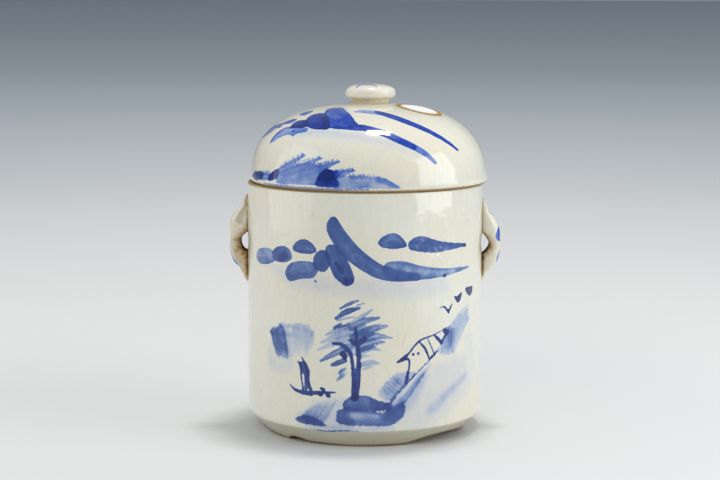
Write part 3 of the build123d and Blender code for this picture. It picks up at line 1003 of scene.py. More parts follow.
    links.new(cobalt.outputs["Color"], painted.inputs["B"])

    # rust; on the lugs this layer also carries painted shade
    stain = nodes.new("ShaderNodeAttribute")
    stain.label = "rust stain"
    stain.attribute_name = Layer.STAIN.value
    stain_noise = nodes.new("ShaderNodeTexNoise")
    stain_noise.label = "patchiness of the rust"
    stain_noise.inputs["Scale"].default_value = 0.5
    stain_noise.inputs["Detail"].default_value = 6.0
    links.new(millimetres.outputs["Vector"], stain_noise.inputs["Vector"])
    stain_patch = nodes.new("ShaderNodeMath")
    stain_patch.label = "rust in patches"
    stain_patch.operation = "MULTIPLY"
    links.new(stain.outputs["Fac"], stain_patch.inputs[0])
    links.new(stain_noise.outputs["Fac"], stain_patch.inputs[1])
    rust = nodes.new("ShaderNodeValToRGB")
    rust.label = "colour of thin to thick rust"
    rust_stops = rust.color_ramp.elements
    rust_stops[0].position = 0.0
    rust_stops[0].color = (0.64, 0.50, 0.30, 1)
    rust_stops[1].position = 0.7
    rust_stops[1].color = (0.035, 0.018, 0.008, 1)
    rust_middle = rust_stops.new(0.32)
    rust_middle.color = (0.40, 0.23, 0.07, 1)
    links.new(stain_patch.outputs["Value"], rust.inputs["Fac"])
    rust_veil = nodes.new("ShaderNodeMapRange")
    rust_veil.label = "how much rust hides the glaze"
    rust_veil.inputs["From Max"].default_value = 0.3
    links.new(stain_patch.outputs["Value"], rust_veil.inputs["Value"])
    rusted = nodes.new("ShaderNodeMix")
    rusted.label = "rust on the glaze"
    rusted.data_type = "RGBA"
    links.new(rust_veil.outputs["Result"], rusted.inputs["Factor"])
    links.new(painted.outputs["Result"], rusted.inputs["A"])
    links.new(rust.outputs["Color"], rusted.inputs["B"])

    # bare clay where the glaze ends
    bare = nodes.new("ShaderNodeAttribute")
    bare.label = "bare clay"
    bare.attribute_name = Layer.BARE.value
    sand = nodes.new("ShaderNodeTexNoise")
    sand.label = "grit of the clay"
    sand.inputs["Scale"].default_value = 1.6
    sand.inputs["Detail"].default_value = 6.0
    links.new(millimetres.outputs["Vector"], sand.inputs["Vector"])
    clay = nodes.new("ShaderNodeMix")
    clay.label = "light and dark clay"
    clay.data_type = "RGBA"
    clay.inputs["A"].default_value = rgba(tuple(0.55 * c for c in finish.clay))
    clay.inputs["B"].default_value = rgba(tuple(1.35 * c for c in finish.clay))
    links.new(sand.outputs["Fac"], clay.inputs["Factor"])
    bare_edge = nodes.new("ShaderNodeMath")
    bare_edge.label = "ragged edge of the glaze"
    bare_edge.operation = "MULTIPLY_ADD"
    bare_edge.inputs[1].default_value = 0.5
    links.new(tremble.outputs["Fac"], bare_edge.inputs[0])
    links.new(bare.outputs["Fac"], bare_edge.inputs[2])
    bare_mask = nodes.new("ShaderNodeMapRange")
    bare_mask.label = "glazed or bare"
    bare_mask.inputs["From Min"].default_value = 0.65
    bare_mask.inputs["From Max"].default_value = 0.85
    links.new(bare_edge.outputs["Value"], bare_mask.inputs["Value"])
    colour = nodes.new("ShaderNodeMix")
    colour.label = "glaze and bare clay"
    colour.data_type = "RGBA"
    links.new(bare_mask.outputs["Result"], colour.inputs["Factor"])
    links.new(rusted.outputs["Result"], colour.inputs["A"])
    links.new(clay.outputs["Result"], colour.inputs["B"])

    # gloss
    dulled = nodes.new("ShaderNodeMath")
    dulled.label = "where the gloss is lost"
    dulled.operation = "MAXIMUM"
    links.new(bare_mask.outputs["Result"], dulled.inputs[0])
    links.new(rust_veil.outputs["Result"], dulled.inputs[1])
    rough = nodes.new("ShaderNodeMapRange")
    rough.label = "satin clay under gloss"
    rough.inputs["To Min"].default_value = 0.28
    rough.inputs["To Max"].default_value = 0.85
    links.new(dulled.outputs["Value"], rough.inputs["Value"])
    gloss = nodes.new("ShaderNodeMapRange")
    gloss.label = "clear glaze only where glazed"
    gloss.inputs["To Min"].default_value = 1.0
    gloss.inputs["To Max"].default_value = 0.0
    links.new(dulled.outputs["Value"], gloss.inputs["Value"])

    # relief
    flow = nodes.new("ShaderNodeTexNoise")
    flow.label = "slow waves of thick glaze"
    flow.inputs["Scale"].default_value = 0.09
    flow.inputs["Detail"].default_value = 2.0
    links.new(millimetres.outputs["Vector"], flow.inputs["Vector"])
    flow_bump = nodes.new("ShaderNodeBump")
    flow_bump.label = "waves in the surface"
    flow_bump.inputs["Strength"].default_value = 0.35
    flow_bump.inputs["Distance"].default_value = 0.0009
    links.new(flow.outputs["Fac"], flow_bump.inputs["Height"])
    skin = nodes.new("ShaderNodeTexNoise")
    skin.label = "orange peel and grit"
    skin.inputs["Scale"].default_value = 0.8
    skin.inputs["Detail"].default_value = 4.0
    links.new(millimetres.outputs["Vector"], skin.inputs["Vector"])
    skin_strength = nodes.new("ShaderNodeMapRange")
    skin_strength.label = "finer on glaze, coarser on clay"
    skin_strength.inputs["To Min"].default_value = 0.035
    skin_strength.inputs["To Max"].default_value = 0.7
    links.new(dulled.outputs["Value"], skin_strength.inputs["Value"])
    skin_bump = nodes.new("ShaderNodeBump")
    skin_bump.label = "small relief"
    skin_bump.inputs["Distance"].default_value = 0.0004
    links.new(skin_strength.outputs["Result"], skin_bump.inputs["Strength"])
    links.new(skin.outputs["Fac"], skin_bump.inputs["Height"])
    links.new(flow_bump.outputs["Normal"], skin_bump.inputs["Normal"])

    # surface
    shader = nodes.new("ShaderNodeBsdfPrincipled")
    shader.label = "glazed porcelain"
    shader.inputs["IOR"].default_value = 1.45
    shader.inputs["Specular IOR Level"].default_value = 0.1
    shader.inputs["Coat IOR"].default_value = 1.5
    shader.inputs["Coat Roughness"].default_value = 0.045
    links.new(colour.outputs["Result"], shader.inputs["Base Color"])
    links.new(rough.outputs["Result"], shader.inputs["Roughness"])
    links.new(gloss.outputs["Result"], shader.inputs["Coat Weight"])
    links.new(skin_bump.outputs["Normal"], shader.inputs["Normal"])
    links.new(skin_bump.outputs["Normal"], shader.inputs["Coat Normal"])
    output = nodes.new("ShaderNodeOutputMaterial")
    output.label = "surface"
    links.new(shader.outputs["BSDF"], output.inputs["Surface"])

    groups = {
        "body colour": [place, millimetres, cloud, cloud_range, body, run_place, runs, run_range, toned],
        "iron specks": [speck_cells, speck_pick, speck_size, speck_gap, speck_mask, specked],
        "crackle": [crack_cells, crack_mask, cracked],
        "brush edge": [ink, edge, tremble, tremble_range, shore, cover],
        "brush streaks": [grain, hair_place, hairs, puddle, uneven, uneven_range],
        "cobalt": [wash, brushed, both, density, cobalt, veil, painted],
        "rust": [stain, stain_noise, stain_patch, rust, rust_veil, rusted],
        "bare clay": [bare, sand, clay, bare_edge, bare_mask, colour],
        "gloss": [dulled, rough, gloss],
        "relief": [flow, flow_bump, skin, skin_strength, skin_bump],
        "surface": [shader, output],
    }
    lay_out(nodes, groups)
    return material


def lay_out(nodes: bpy.types.Nodes, groups: dict[str, list[bpy.types.Node]]) -> None:
    """Frame the nodes by effect and set them out, one row for each effect.

    Args:
        nodes: the material's nodes.
        groups: name of each effect and its nodes in order.
    """
    for row, (title, members) in enumerate(groups.items()):
        box = nodes.new("NodeFrame")
        box.label = title
        for column, node in enumerate(members):
            node.parent = box
            node.location = (column * 240, row * -420)


@dataclass(frozen=True)
class PaperFinish:
    """Colours of the round paper label, and its printed border in millimetres."""

    paper: Colour = (0.78, 0.79, 0.77)
    border: Colour = (0.34, 0.165, 0.012)
    border_width: float = 2.6
    inner_gap: float = 3.5
    breaks: float = 46.0  # in one turn


def paper_material(name: str, finish: PaperFinish) -> Material:
    """White paper with a printed ochre border that has small light breaks.

    Args:
        name: name of the material.
        finish: its colours and the sizes of the border, in millimetres.

    Returns:
        The material.
    """
    material = bpy.data.materials.new(name)
    material.use_nodes = True
    nodes = material.node_tree.nodes
    links = material.node_tree.links
    nodes.clear()

    # printed border with scallops
    inset = nodes.new("ShaderNodeAttribute")
    inset.label = "millimetres in from the cut edge"
    inset.attribute_name = Layer.EDGE.value
    round_place = nodes.new("ShaderNodeAttribute")
    round_place.label = "radians round the label"
    round_place.attribute_name = Layer.GRAIN.value
    round_split = nodes.new("ShaderNodeSeparateXYZ")
    round_split.label = "take the angle"
    links.new(round_place.outputs["Vector"], round_split.inputs["Vector"])
    steps = nodes.new("ShaderNodeMath")
    steps.label = "count of the breaks"
    steps.operation = "MULTIPLY"
    steps.inputs[1].default_value = finish.breaks
    links.new(round_split.outputs["X"], steps.inputs[0])
    beat = nodes.new("ShaderNodeMath")
    beat.label = "one wave for each break"
    beat.operation = "SINE"
    links.new(steps.outputs["Value"], beat.inputs[0])
    scallop = nodes.new("ShaderNodeMath")
    scallop.label = "scalloped inner side, mm"
    scallop.operation = "MULTIPLY"
    scallop.inputs[1].default_value = 0.28
    links.new(beat.outputs["Value"], scallop.inputs[0])
    inner = nodes.new("ShaderNodeMath")
    inner.label = "inset with scallops"
    inner.operation = "ADD"
    links.new(inset.outputs["Fac"], inner.inputs[0])
    links.new(scallop.outputs["Value"], inner.inputs[1])
    band = nodes.new("ShaderNodeMapRange")
    band.label = "inside the border"
    band.inputs["From Min"].default_value = finish.border_width + 0.12
    band.inputs["From Max"].default_value = finish.border_width - 0.12
    links.new(inner.outputs["Value"], band.inputs["Value"])
    margin = nodes.new("ShaderNodeMapRange")
    margin.label = "thin paper margin outside it"
    margin.inputs["From Min"].default_value = -0.2
    margin.inputs["From Max"].default_value = 0.15
    links.new(inset.outputs["Fac"], margin.inputs["Value"])
    ring = nodes.new("ShaderNodeMath")
    ring.label = "border"
    ring.operation = "MULTIPLY"
    links.new(band.outputs["Result"], ring.inputs[0])
    links.new(margin.outputs["Result"], ring.inputs[1])

    # fine line inside the border
    second = nodes.new("ShaderNodeMath")
    second.label = "distance from the fine inner line"
    second.operation = "SUBTRACT"
    second.inputs[1].default_value = finish.inner_gap
    links.new(inset.outputs["Fac"], second.inputs[0])
    second_size = nodes.new("ShaderNodeMath")
    second_size.label = "either side of it"
    second_size.operation = "ABSOLUTE"
    links.new(second.outputs["Value"], second_size.inputs[0])
    second_line = nodes.new("ShaderNodeMapRange")
    second_line.label = "fine inner line"
    second_line.inputs["From Min"].default_value = 0.26
    second_line.inputs["From Max"].default_value = 0.1
    second_line.inputs["To Max"].default_value = 0.55
    links.new(second_size.outputs["Value"], second_line.inputs["Value"])
    printed = nodes.new("ShaderNodeMath")
    printed.label = "border and line"
    printed.operation = "MAXIMUM"
    links.new(ring.outputs["Value"], printed.inputs[0])
    links.new(second_line.outputs["Result"], printed.inputs[1])

    # wear of the print
    place = nodes.new("ShaderNodeTexCoord")
    place.label = "place on the piece"
    millimetres = nodes.new("ShaderNodeMapping")
    millimetres.label = "metres to millimetres"
    millimetres.inputs["Scale"].default_value = (1000, 1000, 1000)
    links.new(place.outputs["Object"], millimetres.inputs["Vector"])
    worn = nodes.new("ShaderNodeTexNoise")
    worn.label = "wear of the print"
    worn.inputs["Scale"].default_value = 1.2
    worn.inputs["Detail"].default_value = 4.0
    links.new(millimetres.outputs["Vector"], worn.inputs["Vector"])
    worn_range = nodes.new("ShaderNodeMapRange")
    worn_range.label = "strength of the wear"
    worn_range.inputs["From Min"].default_value = 0.3
    worn_range.inputs["From Max"].default_value = 0.55
    worn_range.inputs["To Min"].default_value = 0.82
    links.new(worn.outputs["Fac"], worn_range.inputs["Value"])
    left = nodes.new("ShaderNodeMath")
    left.label = "print that is left"
    left.operation = "MULTIPLY"
    links.new(printed.outputs["Value"], left.inputs[0])
    links.new(worn_range.outputs["Result"], left.inputs[1])

    # colour
    ochre = nodes.new("ShaderNodeMix")
    ochre.label = "light and dark ochre"
    ochre.data_type = "RGBA"
    ochre.inputs["A"].default_value = rgba(tuple(0.6 * c for c in finish.border))
    ochre.inputs["B"].default_value = rgba(tuple(1.5 * c for c in finish.border))
    links.new(worn.outputs["Fac"], ochre.inputs["Factor"])
    colour = nodes.new("ShaderNodeMix")
    colour.label = "paper and print"
    colour.data_type = "RGBA"
    colour.inputs["A"].default_value = rgba(finish.paper)
    links.new(left.outputs["Value"], colour.inputs["Factor"])
    links.new(ochre.outputs["Result"], colour.inputs["B"])

    # surface
    relief = nodes.new("ShaderNodeBump")
    relief.label = "fibres and wrinkles"
    relief.inputs["Strength"].default_value = 0.25
    relief.inputs["Distance"].default_value = 0.0003
    links.new(worn.outputs["Fac"], relief.inputs["Height"])
    shader = nodes.new("ShaderNodeBsdfPrincipled")
    shader.label = "coated paper"
    shader.inputs["Roughness"].default_value = 0.8
    shader.inputs["Specular IOR Level"].default_value = 0.08
    links.new(colour.outputs["Result"], shader.inputs["Base Color"])
    links.new(relief.outputs["Normal"], shader.inputs["Normal"])
    output = nodes.new("ShaderNodeOutputMaterial")
    output.label = "surface"
    links.new(shader.outputs["BSDF"], output.inputs["Surface"])

    groups = {
        "border": [inset, round_place, round_split, steps, beat, scallop, inner, band, margin, ring],
        "fine inner line": [second, second_size, second_line, printed],
        "wear": [place, millimetres, worn, worn_range, left],
        "colour": [ochre, colour],
        "surface": [relief, shader, output],
    }
    lay_out(nodes, groups)
    return material


# ---- the jar ------------------------------------------------------------------------------------
# Arches cut in the foot: direction in degrees from the front, half width and rise in millimetres.
FOOT_ARCHES = ((53.0, 25.0, 4.2), (-40.0, 7.0, 2.0), (158.0, 24.0, 4.0), (-99.0, 19.0, 3.0))


def on_jar(flat: Array) -> Array:
    """From millimetres round the wall and height to a place: the wall above, the foot's cone below.

    Args:
        flat: rows of across and up.

    Returns:
        Rows of x, y and z in millimetres.
    """
    angle = flat[:, 0] / JAR.radius
    radius = np.minimum(JAR.radius, JAR.foot_radius + flat[:, 1])
    return np.stack([radius * np.sin(angle), -radius * np.cos(angle), flat[:, 1]], -1)


def jar_flat(points: Array) -> Array:
    """From a place to millimetres round the wall from the front, and height."""
    angle = np.arctan2(points[:, 0], -points[:, 1])
    return np.stack([angle * JAR.radius, points[:, 2]], -1)


def foot_arch_height(angle: Array, radius: Array) -> Array:
    """Height of the arches cut under the foot, at an angle and radius.

    Each arch is a lopsided hump on one cubic Bezier curve, pushed straight out from the axis, so
    its height depends on radius times the sine of the angle from the middle of the arch.

    Args:
        angle: angle from the front, in radians.
        radius: distance from the axis, in millimetres.

    Returns:
        The height of the highest arch there, or 0.
    """
    t = np.linspace(0, 1, 80)
    height = np.zeros(np.broadcast(angle, radius).shape)
    for middle, half, rise in FOOT_ARCHES:
        across = half * (-((1 - t) ** 3) - 1.65 * (1 - t) ** 2 * t + 0.3 * (1 - t) * t**2 + t**3)
        up = rise * (4.5 * (1 - t) ** 2 * t + 3.45 * (1 - t) * t**2)
        turned_by = angle - math.radians(middle)
        hump = np.interp(radius * np.sin(turned_by), across, up, left=0, right=0)
        height = np.maximum(height, np.where(np.cos(turned_by) > 0, hump, 0))
    return height


@dataclass
class JarBody:
    """The jar without its lid: wall, floor, foot and two lugs."""

    size: JarSize = JAR
    half_front: float = 88.0  # degrees either side of the front that are finely divided
    row_step: float = 0.6
    top_row_z: float = 116.0  # above this the rows lie wider apart
    top_step: float = 0.9
    lug_joint_deg: float = 83.2  # where a lug's side meets the wall, from the front
    rust_width: float = 0.7
    rust: float = 0.45

    def build(self, glaze: Material, foot_glaze: Material) -> None:
        """Make the wall, floor and foot.

        Args:
            glaze: finish of the wall and floor.
            foot_glaze: finish of the foot, its body darker than the wall's as painted shade.
        """
        settle(self.wall(), "jar", "jar_wall", glaze)
        settle(self.floor_disc(), "jar", "base_disc", glaze)
        settle(self.foot(), "jar", "foot_ring", foot_glaze)

    def wall(self) -> Piece:
        """The upright wall, its eased lower edge, glaze lip, bare rim with a shallow groove, and bore.

        The outside is a circle with a slow swell and a ripple of a tenth of a millimetre.

        Returns:
            The painted wall.
        """
        s, z0 = self.size, self.size.chamfer_z
        angle = front_angles(self.half_front, s.radius)
        outer_z = np.concatenate([
            [z0, z0 + SLIT], np.arange(z0 + 0.5, self.top_row_z, self.row_step),
            np.arange(self.top_row_z + 0.2, s.glaze_top_z - 0.5, self.top_step), [s.glaze_top_z],
        ])
        outer_r = s.radius - 0.3 * np.clip((z0 + s.ease - outer_z) / s.ease, 0, 1) ** 2
        edge, groove, bore, top = s.radius, s.groove_radius, s.bore, s.rim_z
        inside = np.array([
            (edge - 0.1, top - 0.7), (edge - 0.14, top - 0.45), (edge - 0.26, top - 0.2),
            (edge - 0.5, top - 0.05), (edge - 0.8, top), (groove + 0.6, top), (groove + 0.35, top - 0.15),
            (groove, top - s.groove_depth), (groove - 0.35, top - 0.15), (groove - 0.6, top),
            (bore + 0.8, top), (bore + 0.45, top - 0.06), (bore + 0.2, top - 0.22), (bore + 0.04, top - 0.5),
            (bore, top - 0.8), *((bore, z) for z in (125, 122, 118, 110, 98, 84, 70, 54, 38, 24, 14)),
            (bore, z0 + SLIT), (bore, z0), (bore + SLIT, z0), (edge - 0.34, z0),
        ])
        radius = np.concatenate([outer_r, inside[:, 0]])
        height = np.concatenate([outer_z, inside[:, 1]])
        rows = len(outer_z)
        unevenness = np.zeros((len(radius), len(angle)))
        rise = outer_z[:, None] / 22
        fade = smoothstep(z0, 20, outer_z) * smoothstep(126.4, 112, outer_z)
        swell = s.swell * np.sin(outer_z / 117 * math.pi)
        unevenness[:rows] = fade[:, None] * (swell[:, None] + 0.12 * ripple(angle[None], rise, 5, 9, 5))
        grid = turn(radius[:, None] + unevenness, np.repeat(height[:, None], len(angle), 1), angle)
        obj = closed_surface("jar_wall_glazed", grid, True, False)
        points = grid.reshape(-1, 3)
        flat = jar_flat(points)
        flat[np.repeat(np.arange(len(radius)) >= rows, len(angle))] = UNPAINTED
        Canvas(points, flat, on_jar, (0, 0, 60)).paint(JAR_MARKS).store(obj)
        bare = smoothstep(s.glaze_top_z - 0.05, s.glaze_top_z + 0.15, height)
        bare += smoothstep(s.inner_glaze_z, s.inner_glaze_z + 0.8, height) * (radius < s.bore + 1)
        put_layer(obj, Layer.BARE, np.repeat(np.clip(bare, 0, 1), len(angle)))
        put_layer(obj, Layer.STAIN, self.lug_stain(points))
        return obj

    def lug_stain(self, points: Array) -> Array:
        """Rust that has crept from the lugs onto the wall: it fades away from the lug's joint.

        Args:
            points: vertices in millimetres.

        Returns:
            The strength of the stain at each.
        """
        angle = np.degrees(np.arctan2(np.abs(points[:, 0]), -points[:, 1]))
        away = np.radians(np.abs(angle - self.lug_joint_deg)) * self.size.radius
        band = smoothstep(74, 79, points[:, 2]) * smoothstep(103, 97, points[:, 2])
        return self.rust * band * np.exp(-((away / self.rust_width) ** 2))

    def floor_disc(self) -> Piece:
        """The floor: a disc with faint throwing rings and a glaze fillet against the wall.

        The rings are a sine of the radius that dies out towards the middle and the edge.

        Returns:
            The floor.
        """
        s, z0 = self.size, self.size.chamfer_z
        low = z0 - s.floor
        angle = np.radians(np.arange(0, 360, 3.0))
        top_r = np.linspace(1, s.floor_radius - 0.5, 64)
        top_z = z0 + 0.05 + 0.1 * np.sin(top_r * 1.1) * smoothstep(0, 12, top_r)
        profile = np.vstack([
            np.stack([top_r, top_z], -1),
            [(s.bore - 2, z0 + 0.25), (s.bore - 0.8, z0 + 0.8), (s.bore - 0.15, z0 + 1.7),
             (s.bore + 0.05, z0 + 2.9), (s.bore + 0.1, z0 + 2.9), (s.bore + 0.1, z0 + 0.1),
             (s.floor_radius, z0 + 0.05), (s.floor_radius, z0), (s.floor_radius, low + 2),
             (s.floor_radius, low + SLIT), (s.floor_radius - SLIT, low), (40, low), (20, low), (1, low)],
        ])
        obj = closed_surface("floor_glazed", turn(*profile.T, angle), False, True)
        self.plain_layers(obj)
        return obj

    def foot(self) -> Piece:
        """The foot: a cone outside, its lower edge rounded and cut by the arches, a bore inside.

        Where an arch meets the cone, the height solves h = arch(r0 + h), found by repeating it.

        Returns:
            The painted foot.
        """
        s, z0 = self.size, self.size.chamfer_z
        r0, bore, rebate, low = s.foot_radius, s.foot_bore, s.floor_radius, z0 - s.floor
        angle = np.radians(np.arange(-180, 180, 0.5))
        outer = np.zeros_like(angle)
        for _ in range(12):
            outer = foot_arch_height(angle, r0 + outer)
        outer = outer + 0.12 * ripple(angle, 0 * angle, 9, 9, 9) + 0.12
        inner = foot_arch_height(angle, np.full_like(angle, bore))
        rows: list[tuple[Array | float, Array | float]] = []
        for share in np.linspace(0, 1, 16):
            height = z0 + (outer + 0.7 - z0) * share
            eased = 0.3 * np.clip((height - z0 + 1.2) / 1.2, 0, 1) ** 2
            rows.append((r0 + height - eased, height))
        rows += [(r0 + outer + 0.36, outer + 0.34), (r0 + outer - 0.05, outer + 0.1)]
        painted_rows = len(rows)
        rows += [
            (r0 + outer - 0.5, outer), (bore + 2.2, (outer + inner) / 2), (bore + 0.6, inner),
            (bore + 0.2, inner + 0.08), (bore + 0.05, inner + 0.3), (bore, inner + 0.7), (bore, low - SLIT),
            (bore, low), (rebate - SLIT, low), (rebate, low + SLIT), (rebate, z0), (s.radius - 0.4, z0),
        ]
        radius = np.array([np.broadcast_to(r, angle.shape) for r, _ in rows])
        height = np.maximum([np.broadcast_to(h, angle.shape) for _, h in rows], 0.0)
        grid = turn(radius, height, angle)
        obj = closed_surface("foot_glazed", grid, True, False)
        points = grid.reshape(-1, 3)
        flat = jar_flat(points)
        Canvas(points, flat, on_jar, (0, 0, 60)).paint([*JAR_WASHES, *JAR_GROUND]).store(obj)
        above = (height - outer[None]).ravel()
        outside = np.repeat(np.arange(len(rows)) < painted_rows, len(angle))
        wander = np.tile(0.25 * ripple(angle, 0 * angle, 21, 9, 12), len(rows))
        bare = np.where(outside, smoothstep(1.0, 0.5, above + wander), 1.0)
        put_layer(obj, Layer.BARE, bare)
        put_layer(obj, Layer.STAIN, np.where(outside, 0.35 * smoothstep(1.8, 0.8, above + wander), 0.0))
        return obj

    @staticmethod
    def plain_layers(obj: Piece, bare: float = 0.0) -> None:
        """Give an unpainted piece the painted layers, all empty.

        Args:
            obj: the piece.
            bare: 1 for a piece of bare clay, 0 for a glazed one.
        """
        count = len(obj.data.vertices)
        for layer in (Layer.INK, Layer.WASH, Layer.STAIN):
            put_layer(obj, layer, np.zeros(count))
        put_layer(obj, Layer.BARE, np.full(count, bare))
        put_layer(obj, Layer.EDGE, np.full(count, FAR_FROM_INK))
        put_layer(obj, Layer.GRAIN, np.zeros((count, 3)))


# Outer line and hole of each lug from top to bottom: distance from the jar's axis, and height.
LEFT_OUTER = (
    (60.4, 120), (61.7, 119), (62.7, 117.4), (63.1, 115.4), (63.4, 113.9), (64.9, 112.6), (66.5, 110.9),
    (67.9, 109.1), (68.7, 107.5), (69.2, 105.5), (69.3, 103), (69, 98.9), (69.1, 96.2), (69.3, 93.3),
    (69.1, 90.5), (68.3, 87.1), (67.2, 85), (65.7, 83.5), (64.2, 82), (63.5, 80.5), (62.6, 78.8), (62, 76.8),
    (61, 75.7), (60.3, 74.5),
)
LEFT_HOLE = (
    (59, 101.3), (60.6, 100.4), (62.5, 98.9), (63.3, 97.4), (63.4, 95.8), (63.1, 94.2), (62.2, 92.4),
    (60.9, 91.4), (59, 90.6),
)
RIGHT_OUTER = (
    (60.2, 118), (61.7, 116.6), (63, 114), (63.6, 111.9), (64, 110.9), (65.9, 109.3), (68, 105.7),
    (69.2, 101.6), (69.4, 96.4), (69.4, 91.2), (68.7, 87.6), (67.2, 83.9), (64.2, 81.3), (62.1, 79.6),
    (61.8, 77.7), (60.3, 74.4),
)
RIGHT_HOLE = ((59, 101), (60.4, 100), (62.4, 97.6), (63.6, 95), (62.6, 92.4), (60.6, 90.2), (59, 89.2))


@dataclass
class Lug:
    """One ear-shaped lug, a strap between the wall and its outer line, pierced beside the wall."""

    name: str
    node: str
    side: int
    outer: Outline
    hole: Outline
    marks: list[Mark]
    ridge: float = 0.0  # depth of the hollow beside the ridge, as a share of the width
    stain: float = 1.0
    # strength of a tan tint over the lug that deepens towards its foot: its warm tone and painted shade
    tan: float = 0.0
    root: float = 59.0  # the lug's inner end, in the wall
    corner: float = 0.8  # how square the section is

    def build(self, glaze: Material) -> None:
        """Make the lug and dress it."""
        settle(self.strap(), "jar", self.node, glaze)

    def outer_x(self, z: Array) -> Array:
        """Distance of the lug's outer line from the jar's axis, at a height."""
        line = smooth(self.outer)[::-1]
        return np.interp(z, line[:, 1], line[:, 0])

    def inner_x(self, z: Array) -> Array:
        """Distance of its inner line: in the wall, or round the hole.

        Args:
            z: heights.

        Returns:
            The distance from the jar's axis at each.
        """
        line = smooth(self.hole)[::-1]
        pierced = np.interp(z, line[:, 1], line[:, 0], left=self.root, right=self.root)
        return np.maximum(self.root, pierced)

    @staticmethod
    def half_width(z: Array) -> Array:
        """Half of the lug's width from front to back, in straight lines between nine heights.

        Args:
            z: heights.

        Returns:
            The half width at each.
        """
        height = [74, 76.5, 82, 89, 96, 105, 112.5, 116.5, 120.5]
        width = [1.2, 3.2, 5.8, 6.9, 6.5, 7.2, 5.6, 3.2, 1.0]
        return np.interp(z, height, width)

    def strap(self) -> Piece:
        """The strap: at each height a rounded section reaches from the inner to the outer line.

        A section is a superellipse in the angle b: across = middle + half * sign(cos b) |cos b|^0.8
        and depth = width * sign(sin b) |sin b|^0.8. The front of the upper half is hollowed near the
        wall, which leaves a thin ridge along the outer line.

        Returns:
            The painted lug.
        """
        top, foot = self.outer[0][1], self.outer[-1][1]
        share = (1 - np.cos(np.linspace(0.03, math.pi - 0.03, 150))) / 2
        z = top + (foot - top) * share
        inner, outer = self.inner_x(z), self.outer_x(z)
        outer = np.maximum(outer, inner + 0.4)
        around = np.linspace(0, 2 * math.pi, 72, endpoint=False)
        cos, sin = np.cos(around), np.sin(around)
        middle, half = (inner + outer) / 2, (outer - inner) / 2
        x = middle[:, None] + half[:, None] * np.sign(cos) * np.abs(cos) ** self.corner
        across = (x - inner[:, None]) / (outer - inner)[:, None]
        hollow = np.exp(-(((across - 0.42) / 0.26) ** 2)) * smoothstep(102, 107, z)[:, None]
        width = self.half_width(z)[:, None] * np.where(sin > 0, 1 - self.ridge * hollow, 1.0)
        lumps = 1 + 0.02 * ripple(around[None], z[:, None] / 9, 3 + self.side, 7, 3)
        depth = width * np.sign(sin) * np.abs(sin) ** self.corner * lumps
        grid = np.stack([self.side * x, -depth, np.repeat(z[:, None], len(around), 1)], -1)
        obj = closed_surface(self.name, grid, False, True)
        points = grid.reshape(-1, 3)
        flat = np.stack([np.abs(points[:, 0]), points[:, 2]], -1)
        canvas = Canvas(points, flat, self.on_front, (self.side * 62, 0, 97)).paint(self.marks)
        canvas.store(obj)
        self.put_stain(obj, points, canvas.ink)
        return obj

    def on_front(self, flat: Array) -> Array:
        """From distance and height to a place on the front face of the lug.

        Args:
            flat: rows of distance from the jar's axis and height.

        Returns:
            Rows of x, y and z in millimetres.
        """
        inner, outer = self.inner_x(flat[:, 1]), self.outer_x(flat[:, 1])
        middle, half = (inner + outer) / 2, (outer - inner) / 2
        reach = np.clip(np.abs(flat[:, 0] - middle) / half, 0, 0.999)
        depth = self.half_width(flat[:, 1]) * (1 - reach**2.5) ** 0.4
        return np.stack([self.side * flat[:, 0], -depth, flat[:, 1]], -1)

    def put_stain(self, obj: Piece, points: Array, ink: Array) -> None:
        """Rust round the hole and down the joint with the wall, fading with distance from them; painted
        shade in the fold above; and a tan tint, partly painted shade, deepening towards the foot.

        Args:
            obj: the lug.
            points: its vertices in millimetres.
            ink: density of the brushwork there, which stays clean.
        """
        reach, z = np.abs(points[:, 0]), points[:, 2]
        hole = smooth(self.hole)
        gap = np.min(np.hypot(reach[:, None] - hole[None, :, 0], z[:, None] - hole[None, :, 1]), axis=1)
        outline = 0.9 * np.exp(-((gap / 0.32) ** 2))
        halo = 0.32 * np.exp(-((gap / 2.4) ** 2))
        joint = 0.6 * np.exp(-(((reach - 60) / 0.9) ** 2)) * smoothstep(76, 81, z) * smoothstep(98, 91, z)
        # painted shade: a brown line down the fold where the hollowed upper lug meets the wall
        upper = 0.3 * np.exp(-(((reach - 60) / 1.5) ** 2)) * smoothstep(99, 103, z) * (self.ridge > 0)
        # a tan tint over the lug, kept off the brushwork and deeper towards the foot: partly the lug's warm
        # tone, partly painted shade of its lower part
        tan = self.tan * (0.35 + 0.65 * smoothstep(110, 90, z)) * (1 - np.clip(3 * ink, 0, 1))
        put_layer(obj, Layer.STAIN, np.clip(self.stain * (outline + halo + joint + upper) + tan, 0, 1.3))
        put_layer(obj, Layer.BARE, np.zeros(len(points)))


